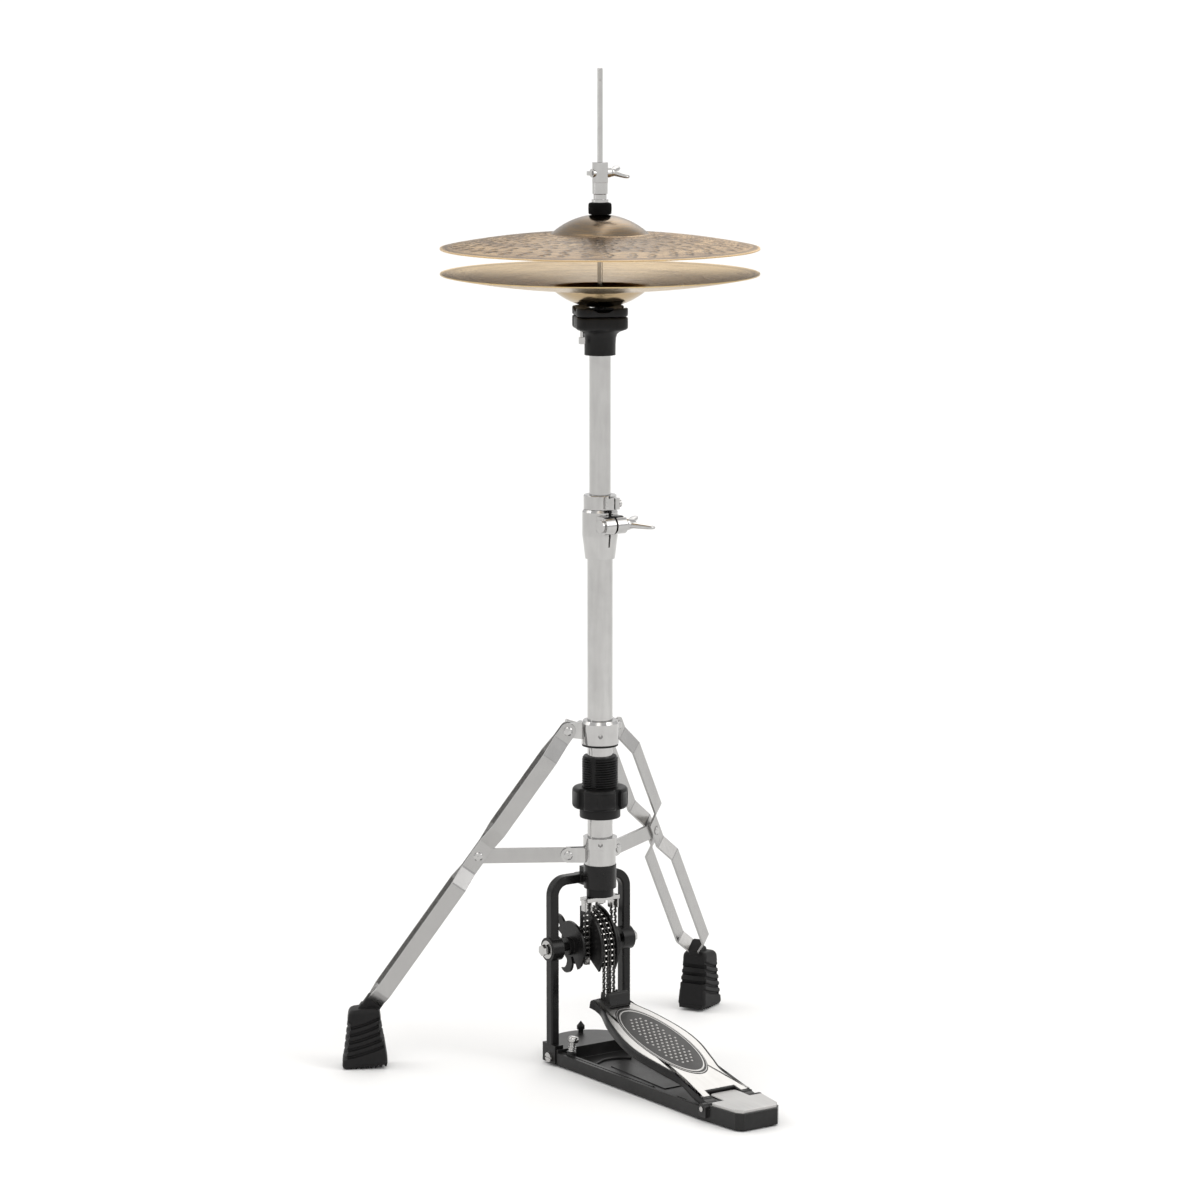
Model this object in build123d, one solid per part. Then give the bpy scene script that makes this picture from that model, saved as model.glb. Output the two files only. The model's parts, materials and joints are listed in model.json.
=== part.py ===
from build123d import *
import math
import os

# A hi-hat: a two-legged pedal stand with its pair of cymbals in place.
# Millimetres. The origin is on the floor under the tube's axis, +Z is up,
# the pedal's heel points to -Y, and the two legs spread towards +Y.

# ---------------------------------------------------------------- clearances
RUN = 0.05            # radial clearance of a shaft or sliding tube
FIX = 0.02            # between two pieces that stay put on each other
GAP = 0.3             # between pieces that move past each other

# ---------------------------------------------------------------- tubes and rods
LOWER_R, LOWER_WALL = 14.3, 1.5
LOWER_Z0, LOWER_Z1 = 206.2, 610.0
UPPER_R, UPPER_WALL = 12.0, 1.2
UPPER_Z0, UPPER_Z1 = 430.0, 850.0
ROD_R, ROD_TOP = 3.0, 1131.0
LOWER_ROD_R, COUPLER_Z0, COUPLER_Z1 = 4.0, 384.0, 412.0
COUPLER_R = 6.5

# ---------------------------------------------------------------- height clamp
CLAMP_Z0, CLAMP_Z1 = 585.0, 641.0
CLAMP_R0, CLAMP_R1 = 16.8, 20.0
CLAMP_BOLT_Y, CLAMP_BOLT_Z = -26.0, 625.0
LOCK_Z0, LOCK_Z1, LOCK_R = 641.3, 657.0, 18.5

# ---------------------------------------------------------------- legs
LEG_ANGLES = {"right": 30.0, "left": 150.0}
PIVOT_R = 36.6        # both collars carry their pivots this far from the axis
UPPER_PIVOT_Z, LOWER_PIVOT_Z = 388.0, 244.0
BRACE_LENGTH = 102.1
LEG_TO_BRACE = 176.5  # along the leg, from its upper pivot to the brace's pivot
LEG_LENGTH = 404.0
STRAP_WIDTH, STRAP_THICK, STRAP_BEND = 18.0, 2.5, 4.0
LOOP_HALF = 17.0      # from the leg's middle plane to each strap in a loop
LUG_HALF = 3.75       # half the thickness of the upper collar's lugs
BRACE_HALF = 2.0      # half the thickness of a brace
BRACE_WIDTH = 17.0
PIN_R, HEAD_R, HEAD_H = 3.0, 5.2, 1.8
FOOT_R, FOOT_H = 269.0, 68.0
FOOT_TILT = 6.0       # degrees; the foot stands on its outer edge
FOOT_BASE, FOOT_TOP = (53.0, 38.0), (30.0, 27.0)

# ---------------------------------------------------------------- spring tension
SLEEVE_R, SLEEVE_Z0, SLEEVE_Z1 = 20.5, 289.0, 359.0
KNOB_Z0, KNOB_STEP, KNOB_Z1 = 288.0, 299.0, 323.0
KNOB_TRAVEL = 5.6
KNOB_R = 31.6         # four broad grips, with a notch between each two
SEAT_PLATE_Z0, SEAT_PLATE_Z1 = 295.0, 299.0

# ---------------------------------------------------------------- pedal frame and shaft
FRAME_X, FRAME_Y = 49.0, 24.0
BAR_X, BAR_Y, BAR_TOP = 10.5, 13.0, 220.0
SOCKET_R, SOCKET_Z0, SOCKET_Z1 = 18.6, 206.0, 233.0
SHAFT_Z, SHAFT_R, HUB_R = 135.0, 5.0, 13.75
STRAND = 8.5                     # half the width of the double chain
WHEEL_R, CAM_R = 42.0, 24.0      # pitch radii of the drive wheel and the side cams
WHEEL_START, WHEEL_END = 90.0, 212.0     # degrees about the shaft; the wheel is a sector
CHAIN_HALF = 2.5                 # half the depth of a chain's links
CAM_X = 18.0

# ---------------------------------------------------------------- pedal
HINGE_Y, HINGE_Z = -260.0, 15.0
BOARD_SLOPE = 13.3
BOARD_UNDER, BOARD_OVER = -3.0, 7.0
BOARD_WALL_Z = 2.5               # underside of the footboard's top wall
TOE_U = 250.0
BASE_HALF = [(-316.0, 22.0), (-308.0, 29.0), (-250.0, 37.5), (-30.0, 49.5), (10.4, 53.0)]
NOTCH_Y, NOTCH_HALF = (10.4, 37.0), 43.4
REAR_HALF, REAR_Y = 48.0, 68.0   # half width just behind the frame, and the rearmost point
PAD_T, FLOOR_Z, RAIL_Z, BAND_Z = 2.0, 6.0, 16.0, 20.0
RAIL_W = 9.0

# ---------------------------------------------------------------- seat, cymbals and clutch
SEAT_Z0, SEAT_NECK_Z, SEAT_LOBE_Z, SEAT_Z1 = 814.0, 832.0, 841.6, 857.5
CUP_Z0, CUP_Z1 = 858.5, 868.0
TILT_X, TILT_Z = 24.0, 858.0
CYMBAL_R, CYMBAL_T, HOLE_R = 177.8, 1.2, 6.5
BELL_SPHERE, BELL_R, BELL_TOP = 80.0, 54.5, 37.0
BOW_MID = (120.0, 9.6)
LOW_APEX_Z, TOP_EDGE_Z = 866.0, 932.0
NUT_Z0, NUT_Z1 = 944.5, 955.5
FELT_LOW_Z0, FELT_LOW_Z1 = 956.2, 968.2
FELT_TOP_Z0, FELT_TOP_Z1 = 970.25, 983.0
WASHER_Z0, RING_Z0, BODY_Z0, CLUTCH_TOP = 983.65, 993.0, 1005.6, 1027.6
SLEEVE_NUT_R = 5.5


# ================================================================ helpers
def cyl(radius, z0, z1, x=0.0, y=0.0):
    """Upright cylinder from z0 to z1."""
    return Pos(x, y, (z0 + z1) / 2) * Cylinder(radius, z1 - z0)


def ring(outer, inner, z0, z1, x=0.0, y=0.0):
    """Upright tube from z0 to z1."""
    return cyl(outer, z0, z1, x, y) - cyl(inner, z0 - 1, z1 + 1, x, y)


def xcyl(radius, x0, x1, y, z):
    """Cylinder along X."""
    return Pos((x0 + x1) / 2, y, z) * Rot(0, 90, 0) * Cylinder(radius, x1 - x0)


def ycyl(radius, y0, y1, x, z):
    """Cylinder along Y."""
    return Pos(x, (y0 + y1) / 2, z) * Rot(90, 0, 0) * Cylinder(radius, y1 - y0)


def block(x0, x1, y0, y1, z0, z1):
    """Box between two corners."""
    return Pos((x0 + x1) / 2, (y0 + y1) / 2, (z0 + z1) / 2) * Box(x1 - x0, y1 - y0, z1 - z0)


def turned(points):
    """Solid of revolution about Z from (radius, height) points."""
    return revolve(Plane.XZ * make_face(Polyline(*points, close=True)), Axis.Z)


def star(count, body, lobe, at, z0, z1, start=0.0):
    """Round body with a ring of round lobes."""
    shape = cyl(body, z0, z1)
    for i in range(count):
        turn = math.radians(start + 360 / count * i)
        shape += cyl(lobe, z0, z1, at * math.cos(turn), at * math.sin(turn))
    return shape


def hex_prism(flats, z0, z1):
    """Upright hexagonal prism, measured across its flats."""
    face = RegularPolygon(flats / 2, 6, major_radius=False)
    return Pos(0, 0, z0) * extrude(face, z1 - z0)


def about_z(angle, shape):
    """Turn a shape about the tube's axis."""
    return Rot(0, 0, angle) * shape


def hull_plate(circles, thick):
    """Flat plate around (x, y, radius) circles, centred on z = 0."""
    edges = [Pos(x, y) * Edge.make_circle(r) for x, y, r in circles]
    return extrude(make_hull(edges), thick / 2, both=True)


def wing_blade(hub, tip, reach, span, thick):
    """One blade of a wing screw, in the XY plane, from the hub on X out to its tip."""
    return hull_plate([(hub, 0, 4.0), (reach - tip, span - tip, tip)], thick)


def wing_screw(shank_r, shank, hub_r, hub, reach, span, thick, bore=0.0):
    """Wing screw along +X: shank, tapered hub and two blades."""
    body = Rot(0, 90, 0) * Pos(0, 0, shank + hub / 2) * Cone(hub_r, hub_r * 0.8, hub)
    blades = Pos(shank, 0, 0) * wing_blade(hub * 0.55, 4.2, reach, span, thick)
    body += blades + Rot(180, 0, 0) * blades
    if shank_r:
        body += xcyl(shank_r, 0, shank + 2, 0, 0)
    if bore:
        body -= xcyl(bore, shank - 1, shank + hub + 1, 0, 0)
    return body


def mitre(points, off):
    """Points of an open path moved sideways by off, with mitred corners."""
    moved = []
    for i, (x, y) in enumerate(points):
        near = [points[max(i - 1, 0)], points[i], points[min(i + 1, len(points) - 1)]]
        dirs = []
        for (ax, ay), (bx, by) in zip(near, near[1:]):
            size = math.hypot(bx - ax, by - ay)
            if size:
                dirs.append(((bx - ax) / size, (by - ay) / size))
        nx = -sum(d[1] for d in dirs) / len(dirs)
        ny = sum(d[0] for d in dirs) / len(dirs)
        grow = off / (nx * nx + ny * ny)
        moved.append((x + nx * grow, y + ny * grow))
    return moved


def strip(points, thick, bend):
    """Face of a bent flat bar seen on its edge."""
    over = FilletPolyline(*mitre(points, thick / 2), radius=bend)
    under = FilletPolyline(*mitre(points, -thick / 2), radius=bend)
    ends = [Line(over @ 0, under @ 0), Line(over @ 1, under @ 1)]
    return make_face([*over.edges(), *under.edges(), *ends])


def save(node, shape):
    """Write one node."""
    solids = shape.solids()
    export_step(solids[0] if len(solids) == 1 else Compound(solids), f"parts/{node}.step")


os.makedirs("parts", exist_ok=True)


# ================================================================ base plate and heel
def half_outline(points):
    """Closed plan outline from the (y, half width) points of its +X half, mirrored in X."""
    right = [(half, y) for y, half in points]
    left = [(-x, y) for x, y in reversed(right)]
    front = Polyline(*left, *right)
    back = ThreePointArc(right[-1], (0, REAR_Y), left[0])
    return make_face([*front.edges(), *back.edges()])


outline_points = BASE_HALF + [
    (NOTCH_Y[0], NOTCH_HALF),
    (NOTCH_Y[1], NOTCH_HALF),
    (NOTCH_Y[1], REAR_HALF),
]
base_face = half_outline(outline_points)
tray_face = offset(half_outline(BASE_HALF + [(NOTCH_Y[1], REAR_HALF)]), -RAIL_W)

base = Pos(0, 0, PAD_T) * extrude(base_face, RAIL_Z - PAD_T)
band = Pos(0, 0, PAD_T) * extrude(base_face, BAND_Z - PAD_T) & block(-60, 60, 8, 70, 0, BAND_Z)
heel = Pos(0, 0, PAD_T) * extrude(base_face, BAND_Z - PAD_T) & block(-60, 60, -320, -269, 0, BAND_Z)
base = base + band + heel
tray = Pos(0, 0, FLOOR_Z) * extrude(tray_face, 30) & block(-60, 60, -246, 8, 0, 60)
base -= tray
# A shallow groove runs along the top of both rails.
groove_face = offset(base_face, -3.4) - offset(base_face, -5.2)
base -= Pos(0, 0, RAIL_Z - 1.6) * extrude(groove_face, 4) & block(-60, 60, -240, 2, 0, RAIL_Z + 1)
# The hinge runs in ears at both sides, in front of the heel block.
base -= block(-33.6, 33.6, -269, -246, 6, 30)
# The rails are cut back inside so that the footboard can come down between them.
base -= block(-33.8, 33.8, -247, -205, 10.5, 30)
base -= block(-36.8, 36.8, -206, -160, 13.2, 30)
EAR_IN, EAR_OUT = 33.6, 39.0
for side in (-1, 1):
    ear_x = sorted((side * EAR_IN, side * EAR_OUT))
    ear = xcyl(6.4, *ear_x, HINGE_Y, HINGE_Z) + block(*ear_x, HINGE_Y - 6.4, HINGE_Y + 6.4, 6, HINGE_Z)
    base += ear
base -= xcyl(PIN_R + FIX, -45, 45, HINGE_Y, HINGE_Z)
# Bolt holes for the frame's feet, and the bosses of the two anchor spurs.
BOLT_Y, BOLT_Z = 20.5, 9.5
base -= xcyl(3.0 + FIX, 30, 60, BOLT_Y, BOLT_Z) + xcyl(3.0 + FIX, -60, -30, BOLT_Y, BOLT_Z)
SPUR_X, SPUR_Y = 11.0, 57.0
base -= cyl(3.0 + RUN, 0, 40, SPUR_X, SPUR_Y)
LEAN_AT, LEAN = (-42.0, -4.0), 10.0
lean = Pos(LEAN_AT[0], LEAN_AT[1], RAIL_Z) * Rot(0, LEAN, 0)
base += lean * cyl(5.6, -13, 3.0)
base -= lean * cyl(3.0 + RUN, -25, 25)
base &= block(-70, 70, -330, 80, PAD_T, 60)
save("base_plate", base)

pad = extrude(offset(half_outline(BASE_HALF + [(37.5, 45.0)]), -4.0), PAD_T)
pad -= cyl(4.5, -1, 5, SPUR_X, SPUR_Y) + lean * cyl(4.5, -25, 0)
save("floor_pad", pad)

HEEL_TOP = 24.0
heel_block = Pos(0, -315.4) * Rectangle(90, 46.4, align=(Align.CENTER, Align.MIN))
heel_face = half_outline(BASE_HALF[:3]) & heel_block
heel_face = offset(heel_face, -1.6)
heel_plate = Pos(0, 0, BAND_Z + FIX) * extrude(heel_face, HEEL_TOP - BAND_Z - FIX)
tongue = hull_plate([(-12.0, -247.5, 5.5), (12.0, -247.5, 5.5), (-14, -275, 3.5), (14, -275, 3.5)], 2.4)
heel_plate += Pos(0, 0, HEEL_TOP - 1.2) * tongue
heel_plate = chamfer(heel_plate.faces().sort_by(Axis.Z)[-1].edges(), 0.6)
save("heel_plate", heel_plate)
save("heel_hinge_pin", xcyl(PIN_R, -40.5, 40.5, HINGE_Y, HINGE_Z))


# ================================================================ pedal frame
def frame_bar():
    """Inverted U of rectangular bar with rounded shoulders."""
    top = BAR_TOP - BAR_X / 2 - 1
    foot_z = 20.0
    path = [(-FRAME_X, foot_z), (-FRAME_X, top), (FRAME_X, top), (FRAME_X, foot_z)]
    line = FilletPolyline(*[(x, FRAME_Y, z) for x, z in path], radius=17)
    section = Pos(-FRAME_X, FRAME_Y, foot_z) * RectangleRounded(BAR_X, BAR_Y, 2.2)
    return sweep(section, path=line)


frame = frame_bar()
# The socket that holds the tube stands in front of the bar, on a short neck.
frame += cyl(SOCKET_R, SOCKET_Z0, SOCKET_Z1)
frame += block(-15, 15, 4, FRAME_Y + BAR_Y / 2, 207.5, BAR_TOP - 1)
frame += block(-11, 11, 12, FRAME_Y + 2, BAR_TOP - 2, 227)
frame -= cyl(LOWER_R + FIX, SOCKET_Z0 - 1, SOCKET_Z1 + 1)
HUB_OUT, HUB_IN = 56.0, 41.0
for side in (-1, 1):
    frame += xcyl(HUB_R, *sorted((side * HUB_IN, side * HUB_OUT)), FRAME_Y, SHAFT_Z)
    frame += block(*sorted((side * (NOTCH_HALF + FIX), side * 54.6)), 10.7, 36.7, 2.4, 24)
    frame -= xcyl(3.0 + FIX, *sorted((side * 40, side * 60)), BOLT_Y, BOLT_Z)
BEARING_R = 10.5
frame -= xcyl(BEARING_R + FIX, -60, -46, FRAME_Y, SHAFT_Z)
frame -= xcyl(BEARING_R + FIX, 46, 60, FRAME_Y, SHAFT_Z)
frame -= xcyl(SHAFT_R + 1.0, -60, 60, FRAME_Y, SHAFT_Z)
save("pedal_frame", frame)

bearings = [
    xcyl(BEARING_R, *sorted((side * 46, side * 57)), FRAME_Y, SHAFT_Z)
    - xcyl(SHAFT_R + RUN, -60, 60, FRAME_Y, SHAFT_Z)
    for side in (-1, 1)
]
save("shaft_bearings", Compound([b.solids()[0] for b in bearings]))

bolts = []
for side in (-1, 1):
    bolt = xcyl(3.0, *sorted((side * 38, side * 55)), BOLT_Y, BOLT_Z)
    head = xcyl(5.6, *sorted((side * (54.6 + FIX), side * 58.4)), BOLT_Y, BOLT_Z)
    bolts.append((bolt + head - block(*sorted((side * 57.2, side * 60)), 14, 27, 8.7, 10.3)).solids()[0])
save("frame_bolts", Compound(bolts))

bushing = ring(15.35, LOWER_ROD_R + RUN, 196.0, SOCKET_Z0 - FIX)
bushing += ring(LOWER_R - LOWER_WALL - FIX, LOWER_ROD_R + RUN, 200.0, 226.0)

# ================================================================ lower tube and height clamp
lower_tube = ring(LOWER_R, LOWER_R - LOWER_WALL, LOWER_Z0, LOWER_Z1)
# Two slots let the spring's seat plate reach the tension knob outside.
SLOT_HALF = 2.3
SLOT_END = KNOB_TRAVEL + 0.6
slot = block(-30, 30, -SLOT_HALF, SLOT_HALF, SEAT_PLATE_Z0 - SLOT_END, SEAT_PLATE_Z1 + SLOT_END)
lower_tube -= slot
save("lower_tube", lower_tube)

INSERT_R = 15.6
clamp = turned([
    (10, CLAMP_Z0), (CLAMP_R0, CLAMP_Z0), (CLAMP_R0 + 1.6, CLAMP_Z0 + 14), (CLAMP_R1, CLAMP_Z0 + 26),
    (CLAMP_R1, CLAMP_Z1 - 3), (CLAMP_R1 - 2, CLAMP_Z1), (10, CLAMP_Z1),
])
clamp += xcyl(10.0, -14, 14, CLAMP_BOLT_Y, CLAMP_BOLT_Z)
clamp += block(-14, 14, CLAMP_BOLT_Y, -8, CLAMP_BOLT_Z - 8.6, CLAMP_BOLT_Z + 10)
clamp -= cyl(LOWER_R + FIX, CLAMP_Z0 - 1, LOWER_Z1 + 0.5)
clamp -= cyl(INSERT_R + FIX, LOWER_Z1 + 0.4, CLAMP_Z1 + 1)
clamp -= block(-1.2, 1.2, -50, 0, CLAMP_Z0 + 14, CLAMP_Z1 + 1)
clamp -= xcyl(3.5 + FIX, -30, 30, CLAMP_BOLT_Y, CLAMP_BOLT_Z)
save("height_clamp", clamp)

insert = ring(INSERT_R, UPPER_R + RUN, LOWER_Z1 + 0.6, CLAMP_Z1)
insert += block(-1.15, 1.15, -21.5, -13, LOWER_Z1 + 4, CLAMP_Z1)
insert += ring(INSERT_R + 1.6, UPPER_R + RUN, CLAMP_Z1 + FIX, LOCK_Z0 - 0.08)
save("tube_bushings", Compound([bushing.solids()[0], insert.solids()[0]]))

bolt = xcyl(3.5, -16, 27, CLAMP_BOLT_Y, CLAMP_BOLT_Z)
bolt += xcyl(7.4, -17.6, -14 - FIX, CLAMP_BOLT_Y, CLAMP_BOLT_Z)
save("clamp_bolt", bolt)
clamp_wing = wing_screw(0, 0, 7.0, 15.0, 31.0, 20.0, 4.4, bore=3.5 + RUN)
WING_TILT = 12.0      # the wing lies almost flat
save("clamp_wing", Pos(14 + GAP, CLAMP_BOLT_Y, CLAMP_BOLT_Z) * Rot(WING_TILT, 0, 0) * clamp_wing)

# ================================================================ spring tension
sleeve = ring(SLEEVE_R, LOWER_R + FIX, SLEEVE_Z0, SLEEVE_Z1)
sleeve = chamfer(sleeve.edges().filter_by(GeomType.CIRCLE).sort_by(Axis.Z)[-1], 1.2)
sleeve -= slot
save("tension_sleeve", sleeve)

knob = cyl(KNOB_R, KNOB_STEP, KNOB_Z1) + cyl(23.2, KNOB_Z0, KNOB_STEP)
for notch in range(4):
    knob -= about_z(11.5 + 90 * notch, cyl(4.0, KNOB_STEP, KNOB_Z1 + 1, KNOB_R - 2.1, 0))
knob -= cyl(SLEEVE_R + RUN, KNOB_Z0 - 1, KNOB_Z1 + 1)
knob -= cyl(22.4, SEAT_PLATE_Z0 - GAP, SEAT_PLATE_Z1 + GAP)
save("tension_knob", knob)

plate = ring(12.4, LOWER_ROD_R + 0.4, SEAT_PLATE_Z0, SEAT_PLATE_Z1)
for side in (-1, 1):
    plate += block(*sorted((side * 11.5, side * 22.0)), -2, 2, SEAT_PLATE_Z0, SEAT_PLATE_Z1)
save("spring_seat", plate)
save("return_spring", ring(10.6, 8.4, SEAT_PLATE_Z1 + FIX, COUPLER_Z0 - FIX))

# ================================================================ pull rod
YOKE_PLATE_Z, YOKE_Z1, YOKE_LUG_Z = 191.0, 195.4, 180.0
lower_rod = cyl(LOWER_ROD_R, YOKE_PLATE_Z + FIX, COUPLER_Z0 + 4)
lower_rod += cyl(11.6, COUPLER_Z0, COUPLER_Z0 + 3)
lower_rod += cyl(COUPLER_R, COUPLER_Z0, COUPLER_Z1)
lower_rod -= cyl(ROD_R + FIX, COUPLER_Z0 + 8, COUPLER_Z1 + 1)
save("lower_rod", lower_rod)
upper_rod = cyl(ROD_R, COUPLER_Z0 + 8.2, ROD_TOP)
upper_rod = chamfer(upper_rod.edges().filter_by(GeomType.CIRCLE).sort_by(Axis.Z)[-1], 0.8)
GROOVE_Z = 1118.0
upper_rod -= ring(ROD_R + 1, ROD_R - 0.4, GROOVE_Z - 1, GROOVE_Z)
save("pull_rod", upper_rod)

yoke = block(-22, 22, -7.5, 7.5, YOKE_PLATE_Z, YOKE_Z1)
for side in (-1, 1):
    for cheek in (CAM_X - 4.2, CAM_X + 2.8):
        yoke += block(*sorted((side * cheek, side * (cheek + 1.4))), -5, 5, YOKE_LUG_Z, YOKE_Z1 - 2)
yoke -= cyl(LOWER_ROD_R + FIX, YOKE_PLATE_Z, 200)
# The bolt's head closes the bore from below.
yoke += turned([(0, 186.6), (4.4, 186.6), (6.2, 187.8), (6.2, YOKE_PLATE_Z), (0, YOKE_PLATE_Z)])
save("chain_yoke", yoke)

side_chains = []
for side in (-1, 1):
    strand_x = sorted((side * (CAM_X - 2.4), side * (CAM_X + 2.4)))
    strand = block(*strand_x, -CHAIN_HALF, CHAIN_HALF, SHAFT_Z, 188.0)
    side_chains.append(strand.solids()[0])
save("side_chains", Compound(side_chains))


# ================================================================ shaft, wheel and cams
def around_shaft(shape):
    """Move a plate drawn in (y, z) about the shaft, with its thickness along X, into place."""
    return Pos(0, FRAME_Y, SHAFT_Z) * (Plane.YZ * shape)


def sector(radius, start, end, hub):
    """Face of a disc's sector from start to end degrees, on a round hub."""
    rim = [
        (radius * math.cos(math.radians(turn)), radius * math.sin(math.radians(turn)))
        for turn in (start, (start + end) / 2, end)
    ]
    arc = ThreePointArc(*rim)
    return make_face([*arc.edges(), *Polyline(rim[2], (0, 0), rim[0]).edges()]) + Circle(hub)


def cheek_plate(face, thick, x):
    """Plate of the given face, square to the shaft at x."""
    return around_shaft(Pos(0, 0, x) * extrude(face, thick / 2, both=True))


shaft = xcyl(SHAFT_R, -58.5, 58.5, FRAME_Y, SHAFT_Z)
for side in (-1, 1):
    shaft += Pos(side * 61.2, FRAME_Y, SHAFT_Z) * Rot(0, 90, 0) * hex_prism(10.0, -2.8, 2.8)
save("cam_shaft", shaft)

WHEEL_CHEEK_T, WHEEL_CHEEK_R, WHEEL_HUB_R = 2.4, 45.5, 16.0
drum_face = sector(WHEEL_R - CHAIN_HALF - 0.2, WHEEL_START, WHEEL_END, WHEEL_HUB_R)
wheel = cheek_plate(drum_face, 2 * STRAND + 2, 0)
for side in (-1, 1):
    cheek_face = sector(WHEEL_CHEEK_R, WHEEL_START, WHEEL_END, WHEEL_HUB_R)
    wheel += cheek_plate(cheek_face, WHEEL_CHEEK_T, side * (STRAND + 2.0))
wheel -= xcyl(SHAFT_R + FIX, -30, 30, FRAME_Y, SHAFT_Z)
save("chain_wheel", wheel)

# Each side cam has one outer cheek with a hooked arm above and a claw below.
CAM_CHEEK_X, CAM_CHEEK_T, CAM_CHEEK_R = 24.0, 2.8, 29.0
hook = Pos(26, 17) * Circle(15.5) - Pos(30.5, 10.5) * Circle(13.2)
claw = Pos(9, -20) * Circle(13.0) - Pos(17.5, -18) * Circle(11.0)
cams = []
for side in (-1, 1):
    inner, outer = side * (STRAND + 3.4), side * (CAM_CHEEK_X - CAM_CHEEK_T / 2)
    cam = xcyl(CAM_R - CHAIN_HALF - 0.4, *sorted((inner, outer)), FRAME_Y, SHAFT_Z)
    cam += cheek_plate(sector(CAM_CHEEK_R, 30, 238, 12.5) + hook + claw, CAM_CHEEK_T, side * CAM_CHEEK_X)
    cam += xcyl(10.5, *sorted((side * (CAM_CHEEK_X - 1), side * 31)), FRAME_Y, SHAFT_Z)
    cam -= xcyl(SHAFT_R + FIX, -40, 40, FRAME_Y, SHAFT_Z)
    cams.append(cam.solids()[0])
save("side_cams", Compound(cams))

clips = []
for side in (-1, 1):
    x0, x1 = sorted((side * (CAM_X - 3.0), side * (CAM_X + 3.0)))
    clip = block(x0, x1, -2.2, 1.8, 117.5, 127.5)
    clips.append((clip - block(x0 + 1, x1 - 1, -3, 0.6, 119, 126)).solids()[0])
save("chain_clips", Compound(clips))


# The double chain lies on the wheel from its anchor to where it leaves for the pedal.
wrap = sector(WHEEL_R + CHAIN_HALF, WHEEL_START + 3, 179.6, 1.0) - Circle(WHEEL_R - CHAIN_HALF)
save("wheel_chain", cheek_plate(wrap, 2 * STRAND, 0))
chain_y = FRAME_Y - WHEEL_R


def on_board(u, w, n):
    """Point on the footboard: u along it from the hinge, w across, n out of its top."""
    slope = math.radians(BOARD_SLOPE)
    y = HINGE_Y + u * math.cos(slope) - n * math.sin(slope)
    z = HINGE_Z + u * math.sin(slope) + n * math.cos(slope)
    return (w, y, z)


toe_pin = on_board(TOE_U, 0, 5.0)
chain_span = (chain_y - CHAIN_HALF, chain_y + CHAIN_HALF, toe_pin[2] + 4.6, SHAFT_Z - GAP)
drive_chain = block(-STRAND, STRAND, *chain_span)
save("drive_chain", drive_chain)

# ================================================================ footboard
board_plane = Plane(
    origin=(0, HINGE_Y, HINGE_Z),
    x_dir=(1, 0, 0),
    z_dir=(0, -math.sin(math.radians(BOARD_SLOPE)), math.cos(math.radians(BOARD_SLOPE))),
)
BOARD_SIDE = [
    (33.0, 8.0), (31.5, 30.0), (28.5, 58.0), (35.0, 88.0), (42.5, 125.0),
    (42.0, 160.0), (33.5, 200.0), (23.5, 228.0), (22.0, 243.0), (24.0, 252.0),
]


def board_outline():
    """Footboard plan: a waist near the heel, a wide middle and a narrow toe."""
    right = Spline(*BOARD_SIDE)
    left = Spline(*[(-w, u) for w, u in BOARD_SIDE])
    toe = ThreePointArc(BOARD_SIDE[-1], (0, 255.0), (-BOARD_SIDE[-1][0], BOARD_SIDE[-1][1]))
    heel_line = Line(BOARD_SIDE[0], (-BOARD_SIDE[0][0], BOARD_SIDE[0][1]))
    return make_face([right.edge(), left.edge(), toe.edge(), heel_line.edge()])


board_face = board_outline()
board = Pos(0, 0, BOARD_UNDER) * extrude(board_face, BOARD_OVER - BOARD_UNDER)
# The casting is hollow underneath, between its side walls.
hollow = hull_plate([(0, 52.0, 21.0), (0, 140.0, 36.0), (0, 226.0, 13.0)], 2 * (BOARD_WALL_Z - BOARD_UNDER))
board -= Pos(0, 0, BOARD_UNDER) * hollow
board -= block(-18.6, 18.6, -10, 22.5, -20, 20)
BADGE_U, BADGE_A, BADGE_B = 141.0, 83.5, 31.0
badge_seat = Pos(0, BADGE_U, BOARD_OVER - 0.8) * extrude(Ellipse(BADGE_B + 0.1, BADGE_A + 0.1), 2)
board -= badge_seat
for side in (-1, 1):
    knuckle = xcyl(6.0, *sorted((side * 19.0, side * 33.2)), 0, 0)
    knuckle += block(*sorted((side * 19.0, side * 33.2)), 0, 12, -3, 6)
    board += knuckle
board -= xcyl(PIN_R + RUN, -45, 45, 0, 0)
save("footboard", board_plane * board)

badge = Pos(0, BADGE_U, BOARD_OVER - 0.8 + FIX) * extrude(Ellipse(BADGE_B, BADGE_A), 1.5)
save("footboard_badge", board_plane * badge)

STOP_U = (226.0, 238.5)
STOP_CORNERS = [(STOP_U[0] + 2, 2.5, 2.4), (STOP_U[1] - 2, 2.5, 2.4), (STOP_U[1] - 3.4, 12.0, 3.2)]
above_board = block(-20, 20, 200, 260, BOARD_OVER + FIX, 40)
stop = Pos(0, 0, BOARD_OVER + FIX) * (Plane.YZ * hull_plate(STOP_CORNERS, 27.0))
stop &= above_board

# Two cheeks on a foot plate hold the end of the double chain.
CHEEK_IN, CHEEK_OUT = STRAND + 0.4, STRAND + 1.8
bracket = block(-CHEEK_OUT, CHEEK_OUT, 241.0, 252.0, BOARD_OVER + FIX, BOARD_OVER + 1.4)
for side in (-1, 1):
    cheek = [(247.0, 3.6, 3.2), (TOE_U, 7.2, 2.2), (252.0 - 2.4, 3.0, 2.4)]
    plate_side = Plane.YZ * hull_plate(cheek, CHEEK_OUT - CHEEK_IN)
    bracket += Pos(side * (CHEEK_IN + CHEEK_OUT) / 2, 0, BOARD_OVER) * plate_side & above_board
save("toe_clamp", board_plane * Compound([stop.solids()[0], bracket.solids()[0]]))

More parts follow.
